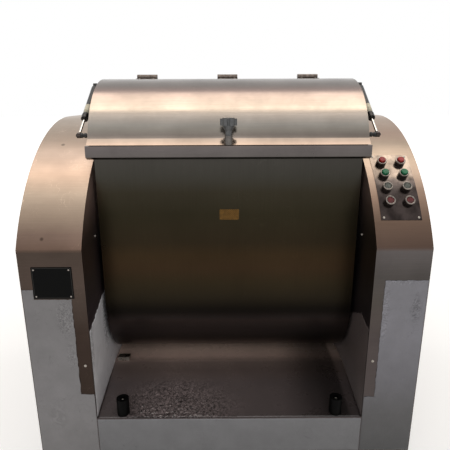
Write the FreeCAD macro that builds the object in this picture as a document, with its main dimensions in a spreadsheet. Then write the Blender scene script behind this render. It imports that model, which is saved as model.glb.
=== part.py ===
import FreeCAD, Part
import Sketcher
import math
import os
import re

from FreeCAD import Placement, Rotation, Vector

# Horizontal dough mixer: two stainless columns carry a trough that tips forward about
# the agitator shaft. +Z is up, the front faces -Y, the floor is Z = 0, and the origin
# is on the floor under the middle of the machine. Depths on the columns are measured
# back from their front plane, heights from the floor. The shaft and the trough keep
# their place about the middle of the columns.

os.makedirs("parts", exist_ok=True)
doc = FreeCAD.newDocument("dough_mixer")

# Driving sizes in millimetres and degrees

DRIVING_SIZES = [
    ("overall_width", 1210, "outer face to outer face of the columns"),
    ("left_column_width", 190, "column on the left of the trough"),
    ("right_column_width", 165, "column on the right of the trough"),
    ("column_depth", 780, "front plane to back plane of the columns"),
    ("foot_height", 60, "floor to the underside of the columns"),
    ("knee_height", 766, "where the upright front turns into the arched cover"),
    ("column_top", 1122, "flat top of the columns"),
    ("cover_radius", 635, "arched cover of the columns"),
    ("panel_wall", 2.5, "stainless sheet of the columns and the base"),
    ("apron_fall", 45, "front edge of the apron below the level deck"),
    ("apron_depth", 265, "depth of the sloping part of the apron"),
    ("deck_gap", 15, "level deck below the trough"),
    ("rear_panel_height", 520, "top of the panel between the columns at the back"),
    ("frame_bar", 40, "square bar of the welded frame"),
    ("frame_plate", 12, "plate that carries a bearing"),
    ("bearing_plate_rise", 150, "bearing plate above the shaft"),
    ("bearing_plate_drop", 290, "bearing plate below the shaft"),
    ("hole_clearance", 4, "room around a trunnion or a shaft in a hole of the sheet"),
    ("foot_radius", 22, "pad of a levelling foot"),
    ("foot_pad", 16, "height of the pad of a levelling foot"),
    ("foot_stem", 9, "radius of the stem of a levelling foot"),
    ("axis_offset", 42, "agitator shaft behind the middle of the column depth"),
    ("axis_height", 521, "agitator shaft above the floor"),
    ("trough_radius", 270, "outside of the round trough bottom"),
    ("trough_wall", 4, "sheet of the trough"),
    ("end_wall", 6, "end plates of the trough"),
    ("trough_side_gap", 12, "end plate to column"),
    ("rim_rise", 532, "top of the trough rim above the shaft"),
    ("rim_reach", 63, "rim in front of the trough wall"),
    ("rim_wall", 3, "sheet of the rim"),
    ("rim_skirt", 33, "height of the skirt of the rim"),
    ("rim_return", 16, "slanting return under the skirt"),
    ("rim_overhang", 7, "rim beyond the end plates"),
    ("lid_radius", 270, "arch of the lid"),
    ("lid_arc_forward", 58, "centre of the arch in front of the shaft"),
    ("lid_arc_drop", 72, "centre of the arch below the rim"),
    ("lid_foot_rise", 20, "lower edge of the arch above the rim"),
    ("lip_reach", 20, "flared lip in front of the arch"),
    ("lip_drop", 17.7, "flared lip below the arch"),
    ("lid_wall", 2, "sheet of the lid"),
    ("lid_clearance", 1.5, "lid above the end plates"),
    ("lid_side_gap", 1, "side rims beside the end plates"),
    ("lid_side_rim", 6, "depth of the side rims of the lid"),
    ("lid_ear", 34, "ear of the lid that carries a gas spring"),
    ("hinge_radius", 8.5, "knuckle of a lid hinge"),
    ("hinge_length", 70, "length of a lid hinge"),
    ("hinge_pitch", 281, "distance from hinge to hinge"),
    ("hinge_leaf", 30, "width of a hinge leaf"),
    ("hinge_leaf_wall", 3, "sheet of a hinge leaf"),
    ("hinge_pin", 4, "radius of a hinge pin"),
    ("running_gap", 0.05, "radial gap of a pin or shaft that turns in its bore"),
    ("seat_gap", 0.3, "gap between pieces that move past or rest on each other"),
    ("bumper_radius", 20, "rubber bumper on the apron"),
    ("bumper_inset", 80.5, "middle of a bumper beside its column"),
    ("bumper_depth", 25, "bumpers behind the front plane"),
    ("bumper_recess", 9, "radius of the bolt recess in a bumper"),
    ("bumper_recess_depth", 12, "depth of the bolt recess"),
    ("stop_block_width", 42, "steel rest block at the back left of the apron"),
    ("stop_block_depth", 24, "front to back size of the rest block"),
    ("stop_block_inset", 12, "rest block beside the left column"),
    ("control_plate_width", 120, "curved control plate"),
    ("control_plate_start", 85, "lower edge of the control plate above the knee"),
    ("control_plate_length", 239, "length of the control plate along the arch"),
    ("control_plate_wall", 1.5, "sheet of the control plate"),
    ("control_plate_inset", 20.5, "control plate beside the inner edge"),
    ("button_start", 143, "lowest row of buttons above the knee"),
    ("button_row_pitch", 48, "distance from row to row"),
    ("button_column_pitch", 58, "distance between the two columns of buttons"),
    ("bezel_radius", 14.75, "round collar of a button"),
    ("bezel_height", 14, "collar above the plate"),
    ("bezel_chamfer", 2, "sloping edge of the collar"),
    ("barrel_radius", 11, "threaded barrel of a button"),
    ("barrel_length", 38, "barrel behind the cover"),
    ("cap_radius", 10, "pressed face of a button"),
    ("cap_proud", 7, "cap of the two upper rows above its collar"),
    ("lens_proud", 0.5, "cap of the two lower rows above its collar"),
    ("cap_chamfer", 1.5, "sloping edge of a cap"),
    ("cap_stem", 22, "cap inside its barrel"),
    ("cap_gap", 0.4, "radial gap around a cap"),
    ("nameplate_width", 119, "blank plate on the left column"),
    ("nameplate_height", 100, "height of the blank plate"),
    ("nameplate_low", 614, "lower edge of the blank plate"),
    ("nameplate_inset", 37, "blank plate beside the outer edge"),
    ("nameplate_wall", 1.5, "sheet of the blank plate"),
    ("rivet_radius", 3, "head of a rivet"),
    ("rivet_head", 1.5, "height of a rivet head"),
    ("rivet_inset", 8, "rivet beside the edge of the plate"),
    ("trunnion_radius", 45, "hollow trunnion of the trough"),
    ("trunnion_length", 54, "left trunnion outside the end plate"),
    ("trunnion_flange", 80, "radius of the trunnion flange inside the panel"),
    ("trunnion_flange_wall", 8, "thickness of the trunnion flange"),
    ("housing_radius", 82, "flange bearing of a trunnion"),
    ("housing_length", 24, "length of a flange bearing"),
    ("shaft_radius", 30, "agitator shaft in the trunnions"),
    ("gear_module", 4.5, "tooth size of the agitator gears"),
    ("gear_teeth", 72, "gear on the agitator shaft"),
    ("pinion_teeth", 18, "pinion that drives the agitator gear"),
    ("gear_width", 38, "face width of the agitator gear"),
    ("tilt_module", 3.5, "tooth size of the tipping gears"),
    ("tilt_teeth", 90, "full circle of the tipping sector"),
    ("tilt_pinion_teeth", 18, "pinion that drives the tipping sector"),
    ("tilt_width", 26, "face width of the tipping sector"),
    ("tooth_backlash", 0.5, "play between meshing teeth"),
    ("pressure_angle", 20, "slope of the tooth flanks"),
    ("sector_margin", 5, "teeth of the sector beyond its quarter turn, at each end"),
    ("sector_hub", 70, "hub of the tipping sector"),
    ("tilt_shaft_radius", 12, "shaft of the tipping pinion"),
    ("tilt_shaft_reach", 50, "shaft beyond the tipping pinion"),
    ("worm_box_size", 120, "square side of the worm box"),
    ("tilt_motor_radius", 50, "motor under the worm box"),
    ("tilt_motor_rise", 20, "motor above the rails of the frame"),
    ("lay_shaft_radius", 17.5, "shaft of the driving pinion"),
    ("lay_bearing_length", 18, "length of a bearing of the pinion shaft"),
    ("lay_bearing_wall", 28, "ring of a bearing of the pinion shaft"),
    ("wheel_gap", 5, "gap beside a gear or a pulley"),
    ("large_pulley_radius", 145, "belt pulley on the pinion shaft"),
    ("small_pulley_radius", 48, "belt pulley on the motor"),
    ("pulley_width", 40, "width of both belt pulleys"),
    ("belt_width", 12, "width of a drive belt"),
    ("belt_height", 9, "height of a drive belt"),
    ("belt_pitch", 18.4, "distance from belt to belt"),
    ("motor_inset", 148, "motor shaft in front of the back plane"),
    ("motor_height", 156, "motor shaft above the floor"),
    ("motor_radius", 72, "body of the drive motor"),
    ("motor_length", 270, "length of the drive motor"),
    ("motor_rim", 8, "flange and fan cover around the case"),
    ("motor_flange_wall", 14, "flange at the shaft end of the motor"),
    ("motor_fan_cover", 50, "length of the fan cover"),
    ("motor_feet_start", 40, "feet behind the flange"),
    ("motor_feet_length", 130, "feet along the motor"),
    ("motor_feet_spread", 124, "feet across the motor"),
    ("motor_feet_wall", 12, "thickness of the feet"),
    ("motor_web_inset", 10, "web inside the ends of the feet"),
    ("terminal_box_length", 90, "terminal box along the motor"),
    ("terminal_box_height", 70, "height of the terminal box"),
    ("terminal_box_reach", 30, "terminal box beside the case"),
    ("motor_bed", 16, "plate under the drive motor"),
    ("motor_shaft_radius", 12, "shaft of the drive motor"),
    ("motor_shaft_depth", 60, "bore for the shaft in the motor"),
    ("motor_shaft_end", 2, "space behind the end of the shaft"),
    ("agitator_reach", 238, "sweep of the agitator"),
    ("agitator_bar", 15, "radius of the spiral bars of the agitator"),
    ("agitator_end_gap", 22, "arms beside the end plates"),
    ("arm_width", 46, "arms of the agitator at the shaft"),
    ("arm_tip", 21, "radius of the rounded ends of the arms"),
    ("arm_thickness", 18, "arms of the agitator along the shaft"),
    ("spring_offset", 33, "gas springs outside the end plates"),
    ("spring_low_forward", 290, "lower pivot of a gas spring in front of the shaft"),
    ("spring_low_rise", 28, "lower pivot of a gas spring above the rim"),
    ("spring_high_forward", 67, "upper pivot of a gas spring in front of the shaft"),
    ("spring_high_drop", 21, "upper pivot of a gas spring below the top of the lid"),
    ("spring_tube_radius", 9.5, "tube of a gas spring"),
    ("spring_rod_radius", 4, "rod of a gas spring"),
    ("spring_rod_shown", 80, "lower pivot to the mouth of the tube"),
    ("spring_rod_hidden", 96, "rod inside the tube"),
    ("spring_rod_room", 8, "space behind the rod in the tube"),
    ("spring_neck_radius", 4.8, "neck between the tube and its eye"),
    ("spring_neck_length", 16, "end of the tube to the upper pivot"),
    ("spring_eye_radius", 8, "eye of a gas spring"),
    ("spring_eye_width", 11, "width of an eye"),
    ("stud_radius", 4, "pin of a gas spring stud"),
    ("stud_collar", 5, "radius of the thick part of a stud"),
    ("nut_radius", 7.5, "corners of the nuts on a stud"),
    ("nut_height", 6.5, "height of a nut"),
    ("stud_head", 3, "pin beyond the eye"),
    ("sleeve_radius", 11.5, "sleeve of the lid knob"),
    ("sleeve_height", 26, "sleeve of the lid knob above the lip"),
    ("sleeve_forward", 10, "sleeve in front of the arch"),
    ("knob_radius", 25, "star knob"),
    ("knob_head", 24, "height of the star head"),
    ("knob_neck", 27, "height of the tapering hub"),
    ("knob_lobes", 6, "lobes of the star knob"),
    ("lobe_radius", 7.8, "rounding of a lobe"),
    ("lobe_inset", 2, "lobes inside both faces of the head"),
    ("knob_waist", 9, "hub where it meets the sleeve"),
    ("knob_belly", 10.5, "hub halfway up"),
    ("knob_core", 18, "head between the lobes"),
    ("knob_dish", 10, "hollow in the top of the head"),
    ("knob_dish_depth", 7, "depth of the hollow"),
    ("knob_screw", 5, "radius of the knob screw"),
]

sizes = doc.addObject("Spreadsheet::Sheet", "sizes")
for row, (alias, value, meaning) in enumerate(DRIVING_SIZES, start=1):
    sizes.set("A%d" % row, alias)
    sizes.set("B%d" % row, str(value))
    sizes.set("C%d" % row, meaning)
    sizes.setAlias("B%d" % row, alias)
doc.recompute()

ALIASES = {alias for alias, value, meaning in DRIVING_SIZES}


def link(formula):
    """Point every size name in a formula at its cell."""
    def cell(match):
        word = match.group()
        return "sizes." + word if word in ALIASES else word
    return re.sub(r"[A-Za-z_]\w*", cell, str(formula))


def number(formula):
    """The present value of a formula, in millimetres or degrees."""
    result = sizes.evalExpression(link(formula))
    return float(getattr(result, "Value", result))


def bind(piece, prop, formula):
    piece.setExpression(prop, link(formula))


# Places that several pieces share

FRONT = "(0 - (column_depth - nameplate_wall - rivet_head) / 2)"
BACK = f"({FRONT} + column_depth)"
LEFT_OUT = "(0 - overall_width / 2)"
LEFT_IN = f"({LEFT_OUT} + left_column_width)"
RIGHT_OUT = "(overall_width / 2)"
RIGHT_IN = f"({RIGHT_OUT} - right_column_width)"
GAP_MIDDLE = f"(({LEFT_IN} + {RIGHT_IN}) / 2)"
ARCH_Z = "(column_top - cover_radius)"
ARCH_Y = f"({FRONT} + sqrt(cover_radius^2 - (knee_height - {ARCH_Z})^2))"
KNEE_ANGLE = f"(asin((knee_height - {ARCH_Z}) / cover_radius) / 1 deg)"
AXIS_Y = f"(({FRONT} + {BACK}) / 2 + axis_offset)"
TROUGH_LEFT = f"({LEFT_IN} + trough_side_gap)"
TROUGH_RIGHT = f"({RIGHT_IN} - trough_side_gap)"
LID_ARC_Y = f"({AXIS_Y} - lid_arc_forward)"
RIM_Z = "(axis_height + rim_rise)"
LID_ARC_Z = f"({RIM_Z} - lid_arc_drop)"
LID_FOOT_Z = f"({RIM_Z} + lid_foot_rise)"
LID_TOP = f"({LID_ARC_Z} + lid_radius)"
DECK_Z = "(axis_height - trough_radius - deck_gap)"
APRON_FRONT_Z = f"({DECK_Z} - apron_fall)"
HINGE_Z = f"({LID_TOP} + hinge_radius + seat_gap)"
BUMPER_TOP = "(axis_height - trough_radius - seat_gap)"
PINION_DROP = "(gear_module * (gear_teeth + pinion_teeth) / 2)"
PINION_Z = f"(axis_height - {PINION_DROP})"
TILT_DROP = "(tilt_module * (tilt_teeth + tilt_pinion_teeth) / 2)"
TILT_PINION_Z = f"(axis_height - {TILT_DROP})"
MOTOR_Y = f"({BACK} - motor_inset)"
PULLEY_LEFT = f"({LEFT_OUT} + panel_wall + frame_plate + lay_bearing_length + wheel_gap)"
GEAR_LEFT = f"({PULLEY_LEFT} + pulley_width + wheel_gap)"
SECTOR_LEFT = f"({RIGHT_IN} + panel_wall + frame_plate + housing_length + wheel_gap)"
SECTOR_RIGHT = f"({SECTOR_LEFT} + tilt_width)"

NODES = []


def node(piece, name):
    """Keep a finished piece under the name of its file."""
    piece.Label = name
    NODES.append(piece)
    return piece


# Ways of making a piece

def box(name, left, right, front, back, low, high):
    piece = doc.addObject("Part::Box", name)
    bind(piece, "Length", f"({right}) - ({left})")
    bind(piece, "Width", f"({back}) - ({front})")
    bind(piece, "Height", f"({high}) - ({low})")
    bind(piece, "Placement.Base.x", left)
    bind(piece, "Placement.Base.y", front)
    bind(piece, "Placement.Base.z", low)
    return piece


TURNS = {
    "x": Rotation(Vector(0, 1, 0), 90),
    "y": Rotation(Vector(1, 0, 0), -90),
    "z": Rotation(),
}


def rod(name, along, start, radius, length):
    """A round bar that starts at a point and runs along +X, +Y or +Z."""
    piece = doc.addObject("Part::Cylinder", name)
    piece.Placement = Placement(Vector(), TURNS[along])
    for letter, formula in zip("xyz", start):
        bind(piece, "Placement.Base." + letter, formula)
    bind(piece, "Radius", radius)
    bind(piece, "Height", length)
    return piece


def fuse(name, *pieces):
    result = doc.addObject("Part::MultiFuse", name)
    result.Shapes = list(pieces)
    return result


def group(name, *pieces):
    """Separate solids that share one name."""
    result = doc.addObject("Part::Compound", name)
    result.Links = list(pieces)
    return result


def cut(name, base, *tools):
    tool = tools[0] if len(tools) == 1 else fuse(name + "_tools", *tools)
    result = doc.addObject("Part::Cut", name)
    result.Base = base
    result.Tool = tool
    return result


def origin_plane(body, role):
    return next(item for item in body.Origin.OriginFeatures if item.Role == role)


def hold_point(sketch, geometry, end, across, up):
    """Fix a point of the sketch at two formulas."""
    for kind, formula in (("DistanceX", across), ("DistanceY", up)):
        place = Sketcher.Constraint(kind, -1, 1, geometry, end, number(formula))
        bind(sketch, "Constraints[%d]" % sketch.addConstraint(place), formula)


def hold_radius(sketch, geometry, radius):
    size = Sketcher.Constraint("Radius", geometry, number(radius))
    bind(sketch, "Constraints[%d]" % sketch.addConstraint(size), radius)


def draw_outline(sketch, corners):
    """Closed outline. A corner is (across, up). With a radius and a centre after
    it, the edge that leaves the corner is the shorter arc about that centre."""
    spots = [Vector(number(corner[0]), number(corner[1]), 0) for corner in corners]
    ends = []
    for index, corner in enumerate(corners):
        here = spots[index]
        there = spots[(index + 1) % len(spots)]
        if len(corner) == 2:
            line = sketch.addGeometry(Part.LineSegment(here, there), False)
            ends.append((line, 1, 2))
            continue
        centre = Vector(number(corner[3]), number(corner[4]), 0)
        anticlockwise = (here - centre).cross(there - centre).z > 0
        first, last = (here, there) if anticlockwise else (there, here)
        angles = [math.atan2(spot.y - centre.y, spot.x - centre.x) for spot in (first, last)]
        if angles[1] < angles[0]:
            angles[1] += 2 * math.pi
        circle = Part.Circle(centre, Vector(0, 0, 1), number(corner[2]))
        arc = sketch.addGeometry(Part.ArcOfCircle(circle, *angles), False)
        ends.append((arc, 1, 2) if anticlockwise else (arc, 2, 1))
    for index, (edge, first, last) in enumerate(ends):
        following, following_first, following_last = ends[(index + 1) % len(ends)]
        sketch.addConstraint(
            Sketcher.Constraint("Coincident", edge, last, following, following_first))
    for (edge, first, last), corner in zip(ends, corners):
        hold_point(sketch, edge, first, corner[0], corner[1])
        if len(corner) > 2:
            hold_radius(sketch, edge, corner[2])


def draw_circle(sketch, across, up, radius):
    centre = Vector(number(across), number(up), 0)
    circle = sketch.addGeometry(Part.Circle(centre, Vector(0, 0, 1), number(radius)), False)
    hold_point(sketch, circle, 3, across, up)
    hold_radius(sketch, circle, radius)


def profile_body(name, corners, start, finish, holes=()):
    """A side profile in depth and height, padded across the machine."""
    body = doc.addObject("PartDesign::Body", name)
    sketch = body.newObject("Sketcher::SketchObject", name + "_profile")
    sketch.AttachmentSupport = [(origin_plane(body, "YZ_Plane"), "")]
    sketch.MapMode = "FlatFace"
    bind(sketch, "AttachmentOffset.Base.z", start)
    draw_outline(sketch, corners)
    for across, up, radius in holes:
        draw_circle(sketch, across, up, radius)
    pad = body.newObject("PartDesign::Pad", name + "_pad")
    pad.Profile = sketch
    bind(pad, "Length", f"({finish}) - ({start})")
    return body


def turned_body(name, corners):
    """A half profile in radius and height, turned about its own Z axis."""
    body = doc.addObject("PartDesign::Body", name)
    sketch = body.newObject("Sketcher::SketchObject", name + "_profile")
    sketch.AttachmentSupport = [(origin_plane(body, "XZ_Plane"), "")]
    sketch.MapMode = "FlatFace"
    draw_outline(sketch, corners)
    turn = body.newObject("PartDesign::Revolution", name + "_turn")
    turn.Profile = sketch
    turn.ReferenceAxis = (sketch, ["V_Axis"])
    turn.Angle = 360
    return body


# Columns

def arch_foot(inset):
    """Height at which a sheet set back by inset meets the arch."""
    return (f"({ARCH_Z} + sqrt((cover_radius - {inset})^2"
            f" - ({ARCH_Y} - {FRONT} - {inset})^2))")


def column_side(name, start, finish, low, holes=()):
    """Flat side panel that fits inside the bent cover."""
    inset = "panel_wall"
    corners = [
        (f"{FRONT} + {inset}", low),
        (f"{FRONT} + {inset}", arch_foot(inset), f"cover_radius - {inset}", ARCH_Y, ARCH_Z),
        (ARCH_Y, f"column_top - {inset}"),
        (f"{BACK} - {inset}", f"column_top - {inset}"),
        (f"{BACK} - {inset}", low),
    ]
    return node(profile_body(name, corners, start, finish, holes), name)


def column_cover(name, start, finish):
    """Front, arch and top in one bent sheet."""
    inset = "panel_wall"
    corners = [
        (FRONT, "foot_height"),
        (FRONT, "knee_height", "cover_radius", ARCH_Y, ARCH_Z),
        (ARCH_Y, "column_top"),
        (BACK, "column_top"),
        (BACK, f"column_top - {inset}"),
        (ARCH_Y, f"column_top - {inset}", f"cover_radius - {inset}", ARCH_Y, ARCH_Z),
        (f"{FRONT} + {inset}", arch_foot(inset)),
        (f"{FRONT} + {inset}", "foot_height"),
    ]
    return profile_body(name, corners, start, finish)


PANEL_LOW = "foot_height + frame_bar"
TRUNNION_HOLE = (AXIS_Y, "axis_height", "trunnion_radius + hole_clearance")
MOTOR_HOLE = (MOTOR_Y, "motor_height", "motor_shaft_radius + hole_clearance")

node(column_cover("left_cover", LEFT_OUT, LEFT_IN), "left_cover")
column_side("left_outer_panel", LEFT_OUT, f"{LEFT_OUT} + panel_wall", "foot_height")
column_side("left_inner_panel", f"{LEFT_IN} - panel_wall", LEFT_IN, PANEL_LOW,
            [TRUNNION_HOLE, MOTOR_HOLE])
right_sheet = column_cover("right_cover_sheet", RIGHT_IN, RIGHT_OUT)
column_side("right_outer_panel", f"{RIGHT_OUT} - panel_wall", RIGHT_OUT, "foot_height")
column_side("right_inner_panel", RIGHT_IN, f"{RIGHT_IN} + panel_wall", PANEL_LOW,
            [TRUNNION_HOLE])
for side, start, finish in (("left", LEFT_OUT, LEFT_IN), ("right", RIGHT_IN, RIGHT_OUT)):
    name = side + "_back_panel"
    back_panel = box(name, start, finish, f"{BACK} - panel_wall", BACK,
                     "foot_height", "column_top - panel_wall")
    node(back_panel, name)

# Push buttons on the arch of the right column. A row's angle is measured from the
# level line through the centre of the arch.

BUTTON_PLACES = [
    ("left_lowest", 0, 0, "lens_proud"), ("right_lowest", 0, 1, "lens_proud"),
    ("left_lower", 1, 0, "lens_proud"), ("right_lower", 1, 1, "lens_proud"),
    ("left_upper", 2, 0, "cap_proud"), ("right_upper", 2, 1, "cap_proud"),
    ("left_highest", 3, 0, "cap_proud"), ("right_highest", 3, 1, "cap_proud"),
]
PLATE_LEFT = f"({RIGHT_IN} + control_plate_inset)"
PLATE_MIDDLE = f"({PLATE_LEFT} + control_plate_width / 2)"


def arch_angle(distance):
    """Angle on the arch at a distance above the knee, in degrees."""
    return f"({KNEE_ANGLE} + ({distance}) / cover_radius * 180 / pi)"


def button_angle(row):
    return arch_angle(f"button_start + {row} * button_row_pitch")


def button_x(column):
    return f"({PLATE_MIDDLE} + ({column} - 0.5) * button_column_pitch)"


def stand_on_arch(piece, row, column, lift):
    """Stand a piece on the arch, its own Z axis pointing straight out."""
    angle = button_angle(row)
    piece.Placement = Placement(Vector(), Rotation(Vector(1, 0, 0), 90 - number(angle)))
    bind(piece, "Placement.Rotation.Angle", f"(90 - {angle}) * 1 deg")
    bind(piece, "Placement.Base.x", button_x(column))
    bind(piece, "Placement.Base.y", f"{ARCH_Y} - (cover_radius + {lift}) * cos({angle} * 1 deg)")
    bind(piece, "Placement.Base.z", f"{ARCH_Z} + (cover_radius + {lift}) * sin({angle} * 1 deg)")


plate_low_angle = arch_angle("control_plate_start")
plate_high_angle = arch_angle("control_plate_start + control_plate_length")


def on_arch(radius, angle):
    return (f"{ARCH_Y} - ({radius}) * cos({angle} * 1 deg)",
            f"{ARCH_Z} + ({radius}) * sin({angle} * 1 deg)")


plate_radius = "cover_radius + control_plate_wall"
plate_sheet = profile_body("control_plate_sheet", [
    (*on_arch(plate_radius, plate_low_angle), plate_radius, ARCH_Y, ARCH_Z),
    on_arch(plate_radius, plate_high_angle),
    (*on_arch("cover_radius", plate_high_angle), "cover_radius", ARCH_Y, ARCH_Z),
    on_arch("cover_radius", plate_low_angle),
], PLATE_LEFT, f"{PLATE_LEFT} + control_plate_width")

cover_holes = []
plate_holes = []
housings = []
for place, row, column, proud in BUTTON_PLACES:
    for holes in (cover_holes, plate_holes):
        hole = doc.addObject("Part::Cylinder", "button_hole")
        bind(hole, "Radius", "barrel_radius")
        bind(hole, "Height", "barrel_length")
        stand_on_arch(hole, row, column, "0 - barrel_length / 2")
        holes.append(hole)
    housing = turned_body("button_housing_" + place, [
        ("cap_radius + cap_gap", "0 - barrel_length"),
        ("barrel_radius", "0 - barrel_length"),
        ("barrel_radius", "0"),
        ("bezel_radius", "0"),
        ("bezel_radius", "bezel_height - bezel_chamfer"),
        ("bezel_radius - bezel_chamfer", "bezel_height"),
        ("cap_radius + cap_gap", "bezel_height"),
    ])
    stand_on_arch(housing, row, column, "control_plate_wall")
    housings.append(housing)
    cap = turned_body("button_cap_" + place, [
        ("0", "bezel_height - cap_stem"),
        ("cap_radius", "bezel_height - cap_stem"),
        ("cap_radius", f"bezel_height + {proud} - cap_chamfer"),
        ("cap_radius - cap_chamfer", f"bezel_height + {proud}"),
        ("0", f"bezel_height + {proud}"),
    ])
    stand_on_arch(cap, row, column, "control_plate_wall")
    node(cap, "button_cap_" + place)
node(cut("right_cover", right_sheet, *cover_holes), "right_cover")
node(cut("control_plate", plate_sheet, *plate_holes), "control_plate")
node(group("button_housings", *housings), "button_housings")

# Blank plate on the front of the left column, with its four rivets

plate_left = f"({LEFT_OUT} + nameplate_inset)"
plate_right = f"({plate_left} + nameplate_width)"
plate_high = "(nameplate_low + nameplate_height)"
plate_front = f"({FRONT} - nameplate_wall)"
nameplate_pieces = [
    box("nameplate_sheet", plate_left, plate_right, plate_front, FRONT,
        "nameplate_low", plate_high)]
for x in (f"{plate_left} + rivet_inset", f"{plate_right} - rivet_inset"):
    for z in ("nameplate_low + rivet_inset", f"{plate_high} - rivet_inset"):
        rivet = rod("rivet", "y", (x, f"{plate_front} - rivet_head", z),
                    "rivet_radius", "rivet_head")
        nameplate_pieces.append(rivet)
node(fuse("nameplate", *nameplate_pieces), "nameplate")

# Base between the columns

node(box("front_panel", LEFT_IN, RIGHT_IN, FRONT, f"{FRONT} + panel_wall",
         "foot_height", f"{APRON_FRONT_Z} - panel_wall"), "front_panel")
node(profile_body("apron_deck", [
    (FRONT, f"{APRON_FRONT_Z} - panel_wall"),
    (f"{FRONT} + apron_depth", f"{DECK_Z} - panel_wall"),
    (f"{BACK} - panel_wall", f"{DECK_Z} - panel_wall"),
    (f"{BACK} - panel_wall", DECK_Z),
    (f"{FRONT} + apron_depth", DECK_Z),
    (FRONT, APRON_FRONT_Z),
], LEFT_IN, RIGHT_IN), "apron_deck")
node(box("rear_panel", LEFT_IN, RIGHT_IN, f"{BACK} - panel_wall", BACK,
         "foot_height", "rear_panel_height"), "rear_panel")

# Welded frame: posts and rails of square bar, plates that carry the bearings

frame_pieces = []
FRAME_LOW = "foot_height"
RAIL_HIGH = "foot_height + frame_bar"
for side, outer, inner, sign in (
        ("left", f"{LEFT_OUT} + panel_wall", f"{LEFT_IN} - panel_wall", "+"),
        ("right", f"{RIGHT_OUT} - panel_wall", f"{RIGHT_IN} + panel_wall", "-")):
    other = "-" if sign == "+" else "+"
    for bar, edge, turn in (("outer", outer, sign), ("inner", inner, other)):
        start, finish = edge, f"{edge} {turn} frame_bar"
        if turn == "-":
            start, finish = finish, start
        near = f"{FRONT} + panel_wall"
        far = f"{BACK} - panel_wall"
        frame_pieces += [
            box(f"{side}_{bar}_front_post", start, finish, near, f"{near} + frame_bar",
                FRAME_LOW, "knee_height - frame_bar / 2"),
            box(f"{side}_{bar}_back_post", start, finish, f"{far} - frame_bar", far,
                FRAME_LOW, "column_top - frame_bar / 2"),
            box(f"{side}_{bar}_rail", start, finish, near, far, FRAME_LOW, RAIL_HIGH),
        ]
    start, finish = inner, f"{inner} {other} frame_plate"
    if other == "-":
        start, finish = finish, start
    frame_pieces.append(box(
        f"{side}_bearing_plate", start, finish, f"{FRONT} + panel_wall + frame_bar",
        f"{BACK} - panel_wall - frame_bar", "axis_height - bearing_plate_drop",
        "axis_height + bearing_plate_rise"))
outer_plate = f"{LEFT_OUT} + panel_wall"
frame_pieces.append(box(
    "lay_shaft_plate", outer_plate, f"{outer_plate} + frame_plate",
    f"{FRONT} + panel_wall + frame_bar", f"{BACK} - panel_wall - frame_bar",
    f"{PINION_Z} - 2 * frame_bar", f"{PINION_Z} + 2 * frame_bar"))
for name, near in (("front_beam", f"{FRONT} + panel_wall"),
                   ("back_beam", f"{BACK} - panel_wall - frame_bar")):
    frame_pieces.append(box(name, f"{LEFT_OUT} + panel_wall", f"{RIGHT_OUT} - panel_wall",
                            near, f"{near} + frame_bar", FRAME_LOW, RAIL_HIGH))
MOTOR_LEFT = f"({LEFT_IN} + frame_bar / 2)"
MOTOR_RIGHT = f"({MOTOR_LEFT} + motor_length)"
frame_pieces.append(box(
    "motor_bed_plate", f"{LEFT_IN} - panel_wall - frame_bar", f"{MOTOR_RIGHT} + frame_bar",
    f"{MOTOR_Y} - motor_radius - frame_bar", f"{BACK} - panel_wall",
    FRAME_LOW, "foot_height + motor_bed"))
TRUNNION_BORE = "trunnion_radius + running_gap"
plate_bores = [
    rod("left_plate_bore", "x", (f"{LEFT_IN} - left_column_width / 2", AXIS_Y, "axis_height"),
        "trunnion_radius + hole_clearance", "left_column_width / 2"),
    rod("right_plate_bore", "x", (RIGHT_IN, AXIS_Y, "axis_height"),
        "trunnion_radius + hole_clearance", "right_column_width / 2"),
    rod("lay_shaft_bore", "x", (f"{LEFT_OUT} + panel_wall", AXIS_Y, PINION_Z),
        "lay_shaft_radius + hole_clearance", "left_column_width - 2 * panel_wall"),
    rod("motor_shaft_bore", "x", (f"{LEFT_IN} - left_column_width / 2", MOTOR_Y, "motor_height"),
        "motor_shaft_radius + hole_clearance", "left_column_width / 2"),
]
node(cut("welded_frame", fuse("frame_bars", *frame_pieces), *plate_bores), "welded_frame")

feet = []
for x in (f"{LEFT_OUT} + panel_wall + frame_bar / 2", f"{RIGHT_OUT} - panel_wall - frame_bar / 2"):
    for y in (f"{FRONT} + panel_wall + frame_bar / 2", f"{BACK} - panel_wall - frame_bar / 2"):
        foot = turned_body("foot", [
            ("0", "0"),
            ("foot_radius", "0"),
            ("foot_radius", "foot_pad / 2"),
            ("foot_stem * 1.5", "foot_pad"),
            ("foot_stem", "foot_pad"),
            ("foot_stem", "foot_height"),
            ("0", "foot_height"),
        ])
        bind(foot, "Placement.Base.x", x)
        bind(foot, "Placement.Base.y", y)
        feet.append(foot)
node(group("levelling_feet", *feet), "levelling_feet")

# Rests for the tipped trough: two rubber bumpers and a steel block on the apron

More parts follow.
